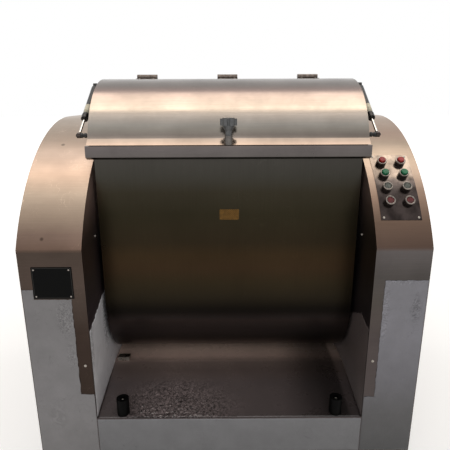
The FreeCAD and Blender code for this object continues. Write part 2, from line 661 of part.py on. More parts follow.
APRON_ANGLE = f"(atan(({DECK_Z} - {APRON_FRONT_Z}) / apron_depth) / 1 deg)"
bumpers = []
for x in (f"({LEFT_IN} + bumper_inset)", f"({RIGHT_IN} - bumper_inset)"):
    place = (x, f"{FRONT} + bumper_depth")
    post = rod("bumper_post", "z", (*place, APRON_FRONT_Z), "bumper_radius",
               f"{BUMPER_TOP} - {APRON_FRONT_Z}")
    recess = rod("bumper_bore", "z", (*place, f"{BUMPER_TOP} - bumper_recess_depth"),
                 "bumper_recess", "bumper_recess_depth")
    slope = box("bumper_slope", f"{x} - 2 * bumper_radius", f"{x} + 2 * bumper_radius",
                FRONT, f"{FRONT} + 4 * bumper_radius",
                f"{APRON_FRONT_Z} - 2 * bumper_radius", APRON_FRONT_Z)
    slope.Placement.Rotation = Rotation(Vector(1, 0, 0), number(APRON_ANGLE))
    bind(slope, "Placement.Rotation.Angle", f"{APRON_ANGLE} * 1 deg")
    bind(slope, "Placement.Base.y", f"{FRONT} + 2 * bumper_radius * sin({APRON_ANGLE} * 1 deg)")
    bind(slope, "Placement.Base.z",
         f"{APRON_FRONT_Z} - 2 * bumper_radius * cos({APRON_ANGLE} * 1 deg)")
    bumpers.append(cut("bumper", post, recess, slope))
node(group("tilt_bumpers", *bumpers), "tilt_bumpers")
block_left = f"({LEFT_IN} + stop_block_inset)"
node(box("stop_block", block_left, f"{block_left} + stop_block_width",
         f"{FRONT} + apron_depth", f"{FRONT} + apron_depth + stop_block_depth",
         DECK_Z, BUMPER_TOP), "stop_block")

# Trough

SHELL_LEFT = f"({TROUGH_LEFT} + end_wall)"
SHELL_RIGHT = f"({TROUGH_RIGHT} - end_wall)"
INNER = "(trough_radius - trough_wall)"


def mirrored(y):
    """The same place on the other side of the shaft."""
    return f"(2 * {AXIS_Y} - ({y}))"


node(profile_body("trough_shell", [
    (f"{AXIS_Y} - trough_radius", RIM_Z),
    (f"{AXIS_Y} - trough_radius", "axis_height", "trough_radius", AXIS_Y, "axis_height"),
    (AXIS_Y, "axis_height - trough_radius", "trough_radius", AXIS_Y, "axis_height"),
    (f"{AXIS_Y} + trough_radius", "axis_height"),
    (f"{AXIS_Y} + trough_radius", RIM_Z),
    (f"{AXIS_Y} + {INNER}", RIM_Z),
    (f"{AXIS_Y} + {INNER}", "axis_height", INNER, AXIS_Y, "axis_height"),
    (AXIS_Y, f"axis_height - {INNER}", INNER, AXIS_Y, "axis_height"),
    (f"{AXIS_Y} - {INNER}", "axis_height"),
    (f"{AXIS_Y} - {INNER}", RIM_Z),
], SHELL_LEFT, SHELL_RIGHT), "trough_shell")


def lid_arc_y(radius, height):
    """Depth of an arch of the lid at a height."""
    return f"({LID_ARC_Y} - sqrt(({radius})^2 - ({height} - {LID_ARC_Z})^2))"


FREE = "(lid_radius - lid_wall - lid_clearance)"
SEATED = "(lid_radius - lid_wall)"
end_outline = [
    (f"{AXIS_Y} - trough_radius", RIM_Z),
    (f"{AXIS_Y} - trough_radius", "axis_height", "trough_radius", AXIS_Y, "axis_height"),
    (AXIS_Y, "axis_height - trough_radius", "trough_radius", AXIS_Y, "axis_height"),
    (f"{AXIS_Y} + trough_radius", "axis_height"),
    (f"{AXIS_Y} + trough_radius", RIM_Z),
    (mirrored(lid_arc_y(SEATED, RIM_Z)), RIM_Z, SEATED,
     mirrored(LID_ARC_Y), LID_ARC_Z),
    (mirrored(LID_ARC_Y), f"{LID_ARC_Z} + {SEATED}"),
    (AXIS_Y, f"{LID_ARC_Z} + {SEATED}"),
    (AXIS_Y, f"{LID_ARC_Z} + {FREE}"),
    (LID_ARC_Y, f"{LID_ARC_Z} + {FREE}", FREE, LID_ARC_Y, LID_ARC_Z),
    (lid_arc_y(FREE, RIM_Z), RIM_Z),
]
shaft_opening = [(AXIS_Y, "axis_height", "shaft_radius + hole_clearance")]
node(profile_body("trough_end_left", end_outline, TROUGH_LEFT, SHELL_LEFT, shaft_opening),
     "trough_end_left")
node(profile_body("trough_end_right", end_outline, SHELL_RIGHT, TROUGH_RIGHT, shaft_opening),
     "trough_end_right")

rim_front = f"({AXIS_Y} - trough_radius - rim_reach)"
rim_foot = f"({RIM_Z} - rim_skirt)"
front_rim_outline = [
    (f"{AXIS_Y} - trough_radius", RIM_Z),
    (rim_front, RIM_Z),
    (rim_front, rim_foot),
    (f"{rim_front} + rim_return", f"{rim_foot} - rim_return / 2"),
    (f"{rim_front} + rim_return", f"{rim_foot} - rim_return / 2 + rim_wall"),
    (f"{rim_front} + rim_wall", f"{rim_foot} + rim_wall"),
    (f"{rim_front} + rim_wall", f"{RIM_Z} - rim_wall"),
    (f"{AXIS_Y} - trough_radius", f"{RIM_Z} - rim_wall"),
]
back_rim_outline = [(mirrored(y), z) for y, z in front_rim_outline]
RIM_LEFT = f"({TROUGH_LEFT} - rim_overhang)"
RIM_RIGHT = f"({TROUGH_RIGHT} + rim_overhang)"
node(profile_body("trough_front_rim", front_rim_outline, RIM_LEFT, RIM_RIGHT),
     "trough_front_rim")
node(profile_body("trough_back_rim", back_rim_outline, RIM_LEFT, RIM_RIGHT),
     "trough_back_rim")

# Lid and the fixed cover behind it

LID_LEFT = f"({TROUGH_LEFT} - lid_side_gap - lid_wall)"
LID_RIGHT = f"({TROUGH_RIGHT} + lid_side_gap + lid_wall)"
LID_FOOT_Y = lid_arc_y("lid_radius", LID_FOOT_Z)
LIP_TIP_Z = f"({LID_FOOT_Z} - lip_drop)"
LIP_SLANT = "(lid_wall * 1.5)"


def arch_sheet(hinge_edge):
    """Flared lip, arch and flat top of the lid, as one bent sheet."""
    return [
        (f"{LID_FOOT_Y} - lip_reach", LIP_TIP_Z),
        (LID_FOOT_Y, LID_FOOT_Z, "lid_radius", LID_ARC_Y, LID_ARC_Z),
        (LID_ARC_Y, LID_TOP),
        (hinge_edge, LID_TOP),
        (hinge_edge, f"{LID_TOP} - lid_wall"),
        (LID_ARC_Y, f"{LID_TOP} - lid_wall", SEATED, LID_ARC_Y, LID_ARC_Z),
        (lid_arc_y(SEATED, LID_FOOT_Z), LID_FOOT_Z),
        (f"{LID_FOOT_Y} - lip_reach + {LIP_SLANT}", LIP_TIP_Z),
    ]


LID_EDGE = f"({AXIS_Y} - lid_side_gap)"
lid_sheet = profile_body("lid_sheet", arch_sheet(LID_EDGE), LID_LEFT, LID_RIGHT)
RIM_INNER = "(lid_radius - lid_wall - lid_side_rim)"
side_rim = [
    (lid_arc_y(SEATED, LID_FOOT_Z), LID_FOOT_Z, SEATED, LID_ARC_Y,
     LID_ARC_Z),
    (LID_ARC_Y, f"{LID_TOP} - lid_wall"),
    (LID_EDGE, f"{LID_TOP} - lid_wall"),
    (LID_EDGE, f"{LID_ARC_Z} + {RIM_INNER}"),
    (LID_ARC_Y, f"{LID_ARC_Z} + {RIM_INNER}", RIM_INNER, LID_ARC_Y, LID_ARC_Z),
    (lid_arc_y(RIM_INNER, LID_FOOT_Z), LID_FOOT_Z),
]
SPRING_HIGH_Y = f"({AXIS_Y} - spring_high_forward)"
SPRING_HIGH_Z = f"({LID_TOP} - spring_high_drop)"
SPRING_LOW_Y = f"({AXIS_Y} - spring_low_forward)"
SPRING_LOW_Z = f"({RIM_Z} + spring_low_rise)"
lid_pieces = [lid_sheet]
for side, start, finish in (("left", LID_LEFT, f"{LID_LEFT} + lid_wall"),
                            ("right", f"{LID_RIGHT} - lid_wall", LID_RIGHT)):
    lid_pieces.append(profile_body(f"lid_{side}_rim", side_rim, start, finish))
    lid_pieces.append(box(
        f"lid_{side}_ear", start, finish, f"{SPRING_HIGH_Y} - lid_ear / 2",
        f"{SPRING_HIGH_Y} + lid_ear / 2", f"{SPRING_HIGH_Z} - lid_ear / 2",
        f"{LID_TOP} - lid_wall"))
SLEEVE_Y = f"({LID_FOOT_Y} - sleeve_forward)"
SLEEVE_LOW = LIP_TIP_Z
SLEEVE_HIGH = f"({LIP_TIP_Z} + sleeve_height)"
sleeve_hole = rod("sleeve_hole", "z", (GAP_MIDDLE, SLEEVE_Y, f"{SLEEVE_LOW} - lip_drop"),
                  "sleeve_radius", "lip_drop + sleeve_height")
node(cut("lid_shell", fuse("lid_sheet_and_rims", *lid_pieces), sleeve_hole), "lid_shell")
rear_edge = f"({AXIS_Y} - lid_side_gap)"
node(profile_body("rear_cover", [(mirrored(corner[0]), *corner[1:3],
                                  *([mirrored(corner[3]), corner[4]] if len(corner) > 2 else []))
                                 for corner in arch_sheet(rear_edge)],
                  LID_LEFT, LID_RIGHT), "rear_cover")

# Knob of the lid: a steel sleeve through the lip, and a star knob with a screw

sleeve_bore = rod("sleeve_bore", "z", (GAP_MIDDLE, SLEEVE_Y, SLEEVE_LOW),
                  "knob_screw + running_gap", "sleeve_height")
node(cut("knob_sleeve", rod("sleeve_bar", "z", (GAP_MIDDLE, SLEEVE_Y, SLEEVE_LOW),
                            "sleeve_radius", "sleeve_height"), sleeve_bore), "knob_sleeve")
knob_hub = turned_body("knob_hub", [
    ("0", "0 - sleeve_height"),
    ("knob_screw", "0 - sleeve_height"),
    ("knob_screw", "0"),
    ("knob_waist", "0"),
    ("knob_belly", "knob_neck / 2"),
    ("knob_core", "knob_neck"),
    ("knob_core", "knob_neck + knob_head"),
    ("knob_dish", "knob_neck + knob_head"),
    ("knob_dish - lobe_inset", "knob_neck + knob_head - knob_dish_depth"),
    ("0", "knob_neck + knob_head - knob_dish_depth"),
])
lobes = []
for index in range(int(number("knob_lobes"))):
    turn = f"({index} * 360 deg / knob_lobes)"
    lobe = rod("knob_lobe", "z", (f"(knob_radius - lobe_radius) * cos({turn})",
                                  f"(knob_radius - lobe_radius) * sin({turn})",
                                  "knob_neck + lobe_inset"),
               "lobe_radius", "knob_head - 2 * lobe_inset")
    lobe.Placement.Rotation = Rotation(Vector(0, 0, 1), 180)
    bind(lobe, "Placement.Rotation.Angle", f"180 deg + {turn}")
    lobes.append(lobe)
star_knob = fuse("star_knob", knob_hub, *lobes)
bind(star_knob, "Placement.Base.x", GAP_MIDDLE)
bind(star_knob, "Placement.Base.y", SLEEVE_Y)
bind(star_knob, "Placement.Base.z", f"{SLEEVE_HIGH} + seat_gap")
node(star_knob, "star_knob")

# Three hinges on top. The fixed leaf carries the middle knuckle and the pin.

KNUCKLE = "hinge_length / 3"
lid_leaves = []
fixed_leaves = []
for step in ("0 - 1", "0", "1"):
    middle = f"({GAP_MIDDLE} + ({step}) * hinge_pitch)"
    left = f"({middle} - hinge_length / 2)"
    right = f"({middle} + hinge_length / 2)"
    leaf_high = f"{LID_TOP} + hinge_leaf_wall"
    leaf_parts = [box("lid_leaf", left, right, f"{AXIS_Y} - hinge_leaf - hinge_radius / 2",
                      f"{AXIS_Y} - hinge_radius / 2", LID_TOP, leaf_high)]
    fixed_parts = [box("fixed_leaf", left, right, f"{AXIS_Y} + hinge_radius / 2",
                       f"{AXIS_Y} + hinge_leaf + hinge_radius / 2", LID_TOP, leaf_high)]
    for start in (left, f"{right} - {KNUCKLE} + seat_gap"):
        leaf_parts.append(rod("lid_knuckle", "x", (start, AXIS_Y, HINGE_Z), "hinge_radius",
                              f"{KNUCKLE} - seat_gap"))
    fixed_parts.append(rod("fixed_knuckle", "x", (f"{left} + {KNUCKLE}", AXIS_Y, HINGE_Z),
                           "hinge_radius", KNUCKLE))
    pin = rod("hinge_pin", "x", (left, AXIS_Y, HINGE_Z), "hinge_pin", "hinge_length")
    pin_bore = rod("pin_bore", "x", (left, AXIS_Y, HINGE_Z), "hinge_pin + running_gap",
                   "hinge_length")
    room_for_fixed = rod("fixed_room", "x", (f"{left} + {KNUCKLE} - seat_gap", AXIS_Y, HINGE_Z),
                         "hinge_radius + seat_gap", f"{KNUCKLE} + 2 * seat_gap")
    lid_leaves.append(cut("lid_hinge_leaf", fuse("lid_leaf_blank", *leaf_parts),
                          pin_bore, room_for_fixed))
    rooms = [rod("lid_room", "x", (start, AXIS_Y, HINGE_Z), "hinge_radius + seat_gap",
                 f"{KNUCKLE} + seat_gap / 2")
             for start in (f"{left} - seat_gap / 2", f"{right} - {KNUCKLE}")]
    fixed_blank = cut("fixed_leaf_blank", fuse("fixed_leaf_whole", *fixed_parts), *rooms)
    fixed_leaves.append(fuse("fixed_hinge_leaf", fixed_blank, pin))
node(group("lid_hinge_leaves", *lid_leaves), "lid_hinge_leaves")
node(group("fixed_hinge_leaves", *fixed_leaves), "fixed_hinge_leaves")

# Trunnions: a flange on the end plate and a hollow journal in the column's bearing

TRUNNION_INNER = "shaft_radius + running_gap"


def trunnion(name, toward_left):
    face = TROUGH_LEFT if toward_left else TROUGH_RIGHT
    tip = f"({face} - trunnion_length)" if toward_left else SECTOR_RIGHT
    start = tip if toward_left else face
    flange_start = f"({face} - trunnion_flange_wall)" if toward_left else face
    journal = rod(name + "_journal", "x", (start, AXIS_Y, "axis_height"),
                  "trunnion_radius", f"abs({face} - {tip})")
    flange = rod(name + "_flange", "x", (flange_start, AXIS_Y, "axis_height"),
                 "trunnion_flange", "trunnion_flange_wall")
    bore = rod(name + "_bore", "x", (start, AXIS_Y, "axis_height"),
               TRUNNION_INNER, f"abs({face} - {tip})")
    return node(cut(name, fuse(name + "_blank", journal, flange), bore), name)


trunnion("left_trunnion", True)
trunnion("right_trunnion", False)

housings = []
for side, start in (("left", f"{LEFT_IN} - panel_wall - frame_plate - housing_length"),
                    ("right", f"{RIGHT_IN} + panel_wall + frame_plate")):
    blank = rod(side + "_housing_blank", "x", (start, AXIS_Y, "axis_height"),
                "housing_radius", "housing_length")
    bore = rod(side + "_housing_bore", "x", (start, AXIS_Y, "axis_height"),
               TRUNNION_BORE, "housing_length")
    housings.append(cut(side + "_housing", blank, bore))
node(group("trunnion_bearings", *housings), "trunnion_bearings")

# Agitator: through shaft, two pairs of arms and two bars that spiral half a turn

SHAFT_LEFT = GEAR_LEFT
SHAFT_RIGHT = SECTOR_RIGHT
ARM_LEFT = f"({SHELL_LEFT} + agitator_end_gap)"
ARM_RIGHT = f"({SHELL_RIGHT} - agitator_end_gap)"


BAR_FLATS = 12


def spiral_bar(turned):
    """Bar on a half turn of a helix, from the left arms to the right arms. Its round
    section is drawn with flats, which keeps its long faces plain."""
    reach = number("agitator_reach - agitator_bar")
    start = number(f"{ARM_LEFT} + arm_thickness / 2")
    length = number(f"{ARM_RIGHT} - arm_thickness / 2") - start
    helix = Part.makeHelix(2 * length, length, reach)
    heading = Vector(0, 1, length / math.pi / reach).normalize()
    side = heading.cross(Vector(1, 0, 0))
    corners = []
    for index in range(BAR_FLATS):
        angle = 2 * math.pi * index / BAR_FLATS
        spoke = Vector(1, 0, 0) * math.cos(angle) + side * math.sin(angle)
        corners.append(Vector(reach, 0, 0) + spoke * number("agitator_bar"))
    section = Part.makePolygon(corners + corners[:1])
    bar = Part.Wire(helix.Edges).makePipeShell([section], True, True)
    bar.rotate(Vector(), Vector(0, 0, 1), turned)
    bar.rotate(Vector(), Vector(0, 1, 0), 90)
    bar.translate(Vector(start, number(AXIS_Y), number("axis_height")))
    return bar


ARM_REACH = "(agitator_reach - agitator_bar)"


def arm_pair(name, start, upright):
    """Two tapering arms with round ends, across the shaft."""
    corners = []
    for along, across in ((ARM_REACH, "0 - arm_tip"), (ARM_REACH, "arm_tip"),
                          ("0", "arm_width / 2"), (f"0 - {ARM_REACH}", "arm_tip"),
                          (f"0 - {ARM_REACH}", "0 - arm_tip"), ("0", "0 - arm_width / 2")):
        depth, height = (across, along) if upright else (along, across)
        corners.append((f"{AXIS_Y} + ({depth})", f"axis_height + ({height})"))
    finish = f"{start} + arm_thickness"
    parts = [profile_body(name, corners, start, finish)]
    for sign in ("+", "-"):
        depth, height = ("0", ARM_REACH) if upright else (ARM_REACH, "0")
        parts.append(rod(name + "_tip", "x",
                         (start, f"{AXIS_Y} {sign} {depth}", f"axis_height {sign} {height}"),
                         "arm_tip", "arm_thickness"))
    return parts


agitator_shaft = rod("agitator_shaft", "x", (SHAFT_LEFT, AXIS_Y, "axis_height"),
                     "shaft_radius", f"{SHAFT_RIGHT} - {SHAFT_LEFT}")
arms = [
    *arm_pair("left_arms", ARM_LEFT, True),
    *arm_pair("right_arms", f"{ARM_RIGHT} - arm_thickness", True),
    *arm_pair("middle_arms", f"{GAP_MIDDLE} - arm_thickness / 2", False),
]
bars = []
for turned in (0, 180):
    bar = doc.addObject("Part::Feature", "spiral_bar")
    bar.Shape = spiral_bar(turned)
    bars.append(bar)
node(fuse("agitator", agitator_shaft, *arms, *bars), "agitator")


# Toothed wheels with involute flanks, drawn with a few points on each flank

DEDENDUM = 1.25
FLANK_POINTS = 4


def involute(angle):
    return math.tan(angle) - angle


def tooth_corners(teeth, size, backlash):
    """Radius and half angle along one flank of a tooth, from root to tip."""
    pressure = math.radians(number("pressure_angle"))
    pitch = teeth * size / 2
    base = pitch * math.cos(pressure)
    root = pitch - DEDENDUM * size
    tip = pitch + size
    half = math.pi / (2 * teeth) - backlash / (4 * pitch)
    flank = []
    start = max(base, root)
    for step in range(FLANK_POINTS):
        radius = start + (tip - start) * step / (FLANK_POINTS - 1)
        half_angle = half + involute(pressure) - involute(math.acos(min(1, base / radius)))
        flank.append((radius, half_angle))
    if root < base:
        flank.insert(0, (root, flank[0][1]))
    return flank


def toothed_wheel(teeth, size, width, phase, first=0, last=None, hub=0):
    """A wheel about +X. A tooth is centred at each phase + k * 360 / teeth."""
    flank = tooth_corners(teeth, size, number("tooth_backlash"))
    last = teeth if last is None else last
    corners = []
    for index in range(first, last):
        middle = math.radians(phase + index * 360 / teeth)
        for radius, half in flank:
            corners.append((radius, middle - half))
        for radius, half in reversed(flank):
            corners.append((radius, middle + half))
    points = [Vector(0, radius * math.cos(angle), radius * math.sin(angle))
              for radius, angle in corners]
    if last - first < teeth:
        points.append(Vector(0, 0, 0))
    wheel = Part.Face(Part.makePolygon(points + points[:1])).extrude(Vector(width, 0, 0))
    if hub:
        wheel = wheel.fuse(Part.makeCylinder(hub, width, Vector(), Vector(1, 0, 0)))
    return wheel


def bored(shape, radius, width):
    return shape.cut(Part.makeCylinder(radius, width, Vector(), Vector(1, 0, 0)))


def wheel_feature(name, shape, x, y, z):
    piece = doc.addObject("Part::Feature", name)
    piece.Shape = shape
    piece.Placement = Placement(Vector(number(x), number(y), number(z)), Rotation())
    return node(piece, name)


gear_teeth = int(number("gear_teeth"))
pinion_teeth = int(number("pinion_teeth"))
gear_width = number("gear_width")
gear = toothed_wheel(gear_teeth, number("gear_module"), gear_width, -90 + 180 / gear_teeth)
wheel_feature("agitator_gear", bored(gear, number("shaft_radius"), gear_width),
              GEAR_LEFT, AXIS_Y, "axis_height")
pinion = toothed_wheel(pinion_teeth, number("gear_module"), gear_width, 90)
wheel_feature("drive_pinion", bored(pinion, number("lay_shaft_radius"), gear_width),
              GEAR_LEFT, AXIS_Y, PINION_Z)

tilt_teeth = int(number("tilt_teeth"))
tilt_pinion_teeth = int(number("tilt_pinion_teeth"))
tilt_width = number("tilt_width")
sector_margin = int(number("sector_margin"))
quarter = tilt_teeth // 4
sector = toothed_wheel(tilt_teeth, number("tilt_module"), tilt_width, -90 + 180 / tilt_teeth,
                       -quarter - sector_margin, sector_margin,
                       hub=number("sector_hub"))
wheel_feature("tilt_sector", bored(sector, number("trunnion_radius"), tilt_width),
              SECTOR_LEFT, AXIS_Y, "axis_height")
tilt_pinion = toothed_wheel(tilt_pinion_teeth, number("tilt_module"), tilt_width, 90)
tilt_shaft = Part.makeCylinder(number("tilt_shaft_radius"),
                               tilt_width + number("tilt_shaft_reach"), Vector(), Vector(1, 0, 0))
wheel_feature("tilt_pinion", tilt_pinion.fuse(tilt_shaft), SECTOR_LEFT, AXIS_Y, TILT_PINION_Z)

# Belt drive: pulleys, two belts, the shaft of the pinion and its bearings

LAY_LEFT = f"({LEFT_OUT} + panel_wall + seat_gap)"
lay_shaft = rod("pinion_shaft", "x", (LAY_LEFT, AXIS_Y, PINION_Z), "lay_shaft_radius",
                "left_column_width - 2 * panel_wall - 2 * seat_gap")
node(lay_shaft, "pinion_shaft")
lay_bearings = []
for side, start in (("left", f"{LEFT_OUT} + panel_wall + frame_plate"),
                    ("right", f"{LEFT_IN} - panel_wall - frame_plate - lay_bearing_length")):
    blank = rod("lay_bearing_blank", "x", (start, AXIS_Y, PINION_Z),
                "lay_shaft_radius + lay_bearing_wall", "lay_bearing_length")
    bore = rod("lay_bearing_bore", "x", (start, AXIS_Y, PINION_Z),
               "lay_shaft_radius + running_gap", "lay_bearing_length")
    lay_bearings.append(cut("lay_bearing", blank, bore))
node(group("pinion_shaft_bearings", *lay_bearings), "pinion_shaft_bearings")

BELT_PLACES = ("(pulley_width - belt_pitch) / 2", "(pulley_width + belt_pitch) / 2")


def pulley(name, radius, bore_radius, y, z):
    blank = rod(name + "_blank", "x", (PULLEY_LEFT, y, z), radius, "pulley_width")
    tools = []
    for place in BELT_PLACES:
        start = f"{PULLEY_LEFT} + {place} - belt_width / 2 - seat_gap"
        outer = rod(name + "_ring", "x", (start, y, z), f"{radius} + belt_height",
                    "belt_width + 2 * seat_gap")
        core = rod(name + "_core", "x", (start, y, z), f"{radius} - belt_height",
                   "belt_width + 2 * seat_gap")
        tools.append(cut(name + "_groove", outer, core))
    tools.append(rod(name + "_bore", "x", (PULLEY_LEFT, y, z), bore_radius, "pulley_width"))
    return node(cut(name, blank, *tools), name)


pulley("large_pulley", "large_pulley_radius", "lay_shaft_radius", AXIS_Y, PINION_Z)
pulley("motor_pulley", "small_pulley_radius", "motor_shaft_radius", MOTOR_Y, "motor_height")


def belt_face(grow):
    """Area inside a belt line round the two pulleys, grown outwards."""
    large = number("large_pulley_radius - belt_height + seat_gap") + grow
    small = number("small_pulley_radius - belt_height + seat_gap") + grow
    a = Vector(0, number(AXIS_Y), number(PINION_Z))
    b = Vector(0, number(MOTOR_Y), number("motor_height"))
    between = b - a
    spread = math.acos((large - small) / between.Length)
    heading = math.atan2(between.z, between.y)
    corners = []
    for centre, radius, turn in ((a, large, spread), (b, small, spread),
                                 (b, small, -spread), (a, large, -spread)):
        angle = heading + turn
        corners.append(centre + Vector(0, math.cos(angle), math.sin(angle)) * radius)
    a_back = a - between.normalize() * large
    b_back = b + between * small
    edges = [
        Part.LineSegment(corners[0], corners[1]).toShape(),
        Part.Arc(corners[1], b_back, corners[2]).toShape(),
        Part.LineSegment(corners[2], corners[3]).toShape(),
        Part.Arc(corners[3], a_back, corners[0]).toShape(),
    ]
    return Part.Face(Part.Wire(edges))


belt_ring = belt_face(number("belt_height")).cut(belt_face(0))
belt_solids = []
for place in BELT_PLACES:
    belt = belt_ring.extrude(Vector(number("belt_width"), 0, 0))
    belt.translate(Vector(number(f"{PULLEY_LEFT} + {place} - belt_width / 2"), 0, 0))
    belt_solids.append(belt)
belts = doc.addObject("Part::Feature", "drive_belts")
belts.Shape = Part.makeCompound(belt_solids)
node(belts, "drive_belts")

# Drive motor under the deck, with its feet, cooling ribs and terminal box

FEET_LEFT = f"({MOTOR_LEFT} + motor_feet_start)"
FEET_RIGHT = f"({FEET_LEFT} + motor_feet_length)"
FEET_LOW = "(foot_height + motor_bed)"
TERMINAL_LEFT = f"({FEET_LEFT} + 2 * motor_web_inset)"
TERMINAL_LOW = "(motor_height - terminal_box_height / 2)"
motor_parts = [
    rod("motor_case", "x", (MOTOR_LEFT, MOTOR_Y, "motor_height"), "motor_radius - motor_rim",
        "motor_length"),
    rod("motor_fan_cover", "x", (f"{MOTOR_RIGHT} - motor_fan_cover", MOTOR_Y, "motor_height"),
        "motor_radius", "motor_fan_cover"),
    rod("motor_flange", "x", (MOTOR_LEFT, MOTOR_Y, "motor_height"), "motor_radius",
        "motor_flange_wall"),
    box("motor_feet", FEET_LEFT, FEET_RIGHT, f"{MOTOR_Y} - motor_feet_spread / 2",
        f"{MOTOR_Y} + motor_feet_spread / 2", FEET_LOW, f"{FEET_LOW} + motor_feet_wall"),
    box("motor_foot_web", f"{FEET_LEFT} + motor_web_inset", f"{FEET_RIGHT} - motor_web_inset",
        f"{MOTOR_Y} - motor_feet_spread / 2 + motor_web_inset",
        f"{MOTOR_Y} + motor_feet_spread / 2 - motor_web_inset", FEET_LOW, "motor_height"),
    box("terminal_box", TERMINAL_LEFT, f"{TERMINAL_LEFT} + terminal_box_length",
        f"{MOTOR_Y} - motor_radius - terminal_box_reach", MOTOR_Y, TERMINAL_LOW,
        f"{TERMINAL_LOW} + terminal_box_height"),
]
motor_bore = rod("motor_shaft_room", "x", (MOTOR_LEFT, MOTOR_Y, "motor_height"),
                 "motor_shaft_radius + running_gap", "motor_shaft_depth")
node(cut("drive_motor", fuse("motor_blank", *motor_parts), motor_bore), "drive_motor")
node(rod("motor_shaft", "x", (PULLEY_LEFT, MOTOR_Y, "motor_height"), "motor_shaft_radius",
         f"{MOTOR_LEFT} + motor_shaft_depth - motor_shaft_end - {PULLEY_LEFT}"), "motor_shaft")

# Tipping drive: a worm box on the right bearing plate with its own motor below

worm_left = f"({SECTOR_RIGHT} + wheel_gap)"
worm_right = f"({RIGHT_OUT} - panel_wall)"
worm_low = f"({TILT_PINION_Z} - worm_box_size / 2)"
tilt_motor_low = "(foot_height + frame_bar + tilt_motor_rise)"
worm_box = box("worm_box", worm_left, worm_right, f"{AXIS_Y} - worm_box_size / 2",
               f"{AXIS_Y} + worm_box_size / 2", worm_low, f"{worm_low} + worm_box_size")
worm_bore = rod("worm_bore", "x", (worm_left, AXIS_Y, TILT_PINION_Z),
                "tilt_shaft_radius + running_gap", "tilt_shaft_reach - wheel_gap + seat_gap")
tilt_motor = rod("tilt_motor_case", "z",
                 (f"{worm_right} - tilt_motor_radius", AXIS_Y, tilt_motor_low),
                 "tilt_motor_radius", f"{worm_low} - {tilt_motor_low}")
tilt_drive = fuse("tilt_drive_blank", worm_box, tilt_motor)
node(cut("tilt_gearmotor", tilt_drive, worm_bore), "tilt_gearmotor")

# Gas springs. Each one is drawn upright from its lower pivot and leaned to its line.

SPRING_RUN = "(spring_low_forward - spring_high_forward)"
SPRING_RISE = f"({SPRING_HIGH_Z} - {SPRING_LOW_Z})"
SPRING_LENGTH = f"(sqrt({SPRING_RUN}^2 + {SPRING_RISE}^2))"
SPRING_LEAN = f"(atan({SPRING_RISE} / {SPRING_RUN}) / 1 deg - 90)"


def lean(piece, x):
    piece.Placement = Placement(Vector(), Rotation(Vector(1, 0, 0), number(SPRING_LEAN)))
    bind(piece, "Placement.Rotation.Angle", f"{SPRING_LEAN} * 1 deg")
    bind(piece, "Placement.Base.x", x)
    bind(piece, "Placement.Base.y", SPRING_LOW_Y)
    bind(piece, "Placement.Base.z", SPRING_LOW_Z)


def eye(name, height, radius):
    return rod(name, "x", ("0 - spring_eye_width / 2", "0", height), radius, "spring_eye_width")


def stud(name, face, collar_end, pin_end, sign, y, z, nut_places):
    """A stud that stands out of a side sheet, with its nuts and its thin pin."""
    def bar(kind, finish, radius):
        low, high = (finish, face) if sign == "-" else (face, finish)
        return rod(name + kind, "x", (low, y, z), radius, f"({high}) - ({low})")

    parts = [bar("_collar", collar_end, "stud_collar")]
    if pin_end:
        parts.append(bar("_pin", pin_end, "stud_radius"))
    for place in nut_places:
        nut = doc.addObject("Part::Prism", name + "_nut")
        nut.Polygon = 6
        nut.Placement = Placement(Vector(), TURNS["x"])
        shift = "" if sign == "+" else " - nut_height"
        bind(nut, "Circumradius", "nut_radius")
        bind(nut, "Height", "nut_height")
        bind(nut, "Placement.Base.x", f"{face} {sign} ({place}){shift}")
        bind(nut, "Placement.Base.y", y)
        bind(nut, "Placement.Base.z", z)
        parts.append(nut)
    return fuse(name, *parts)


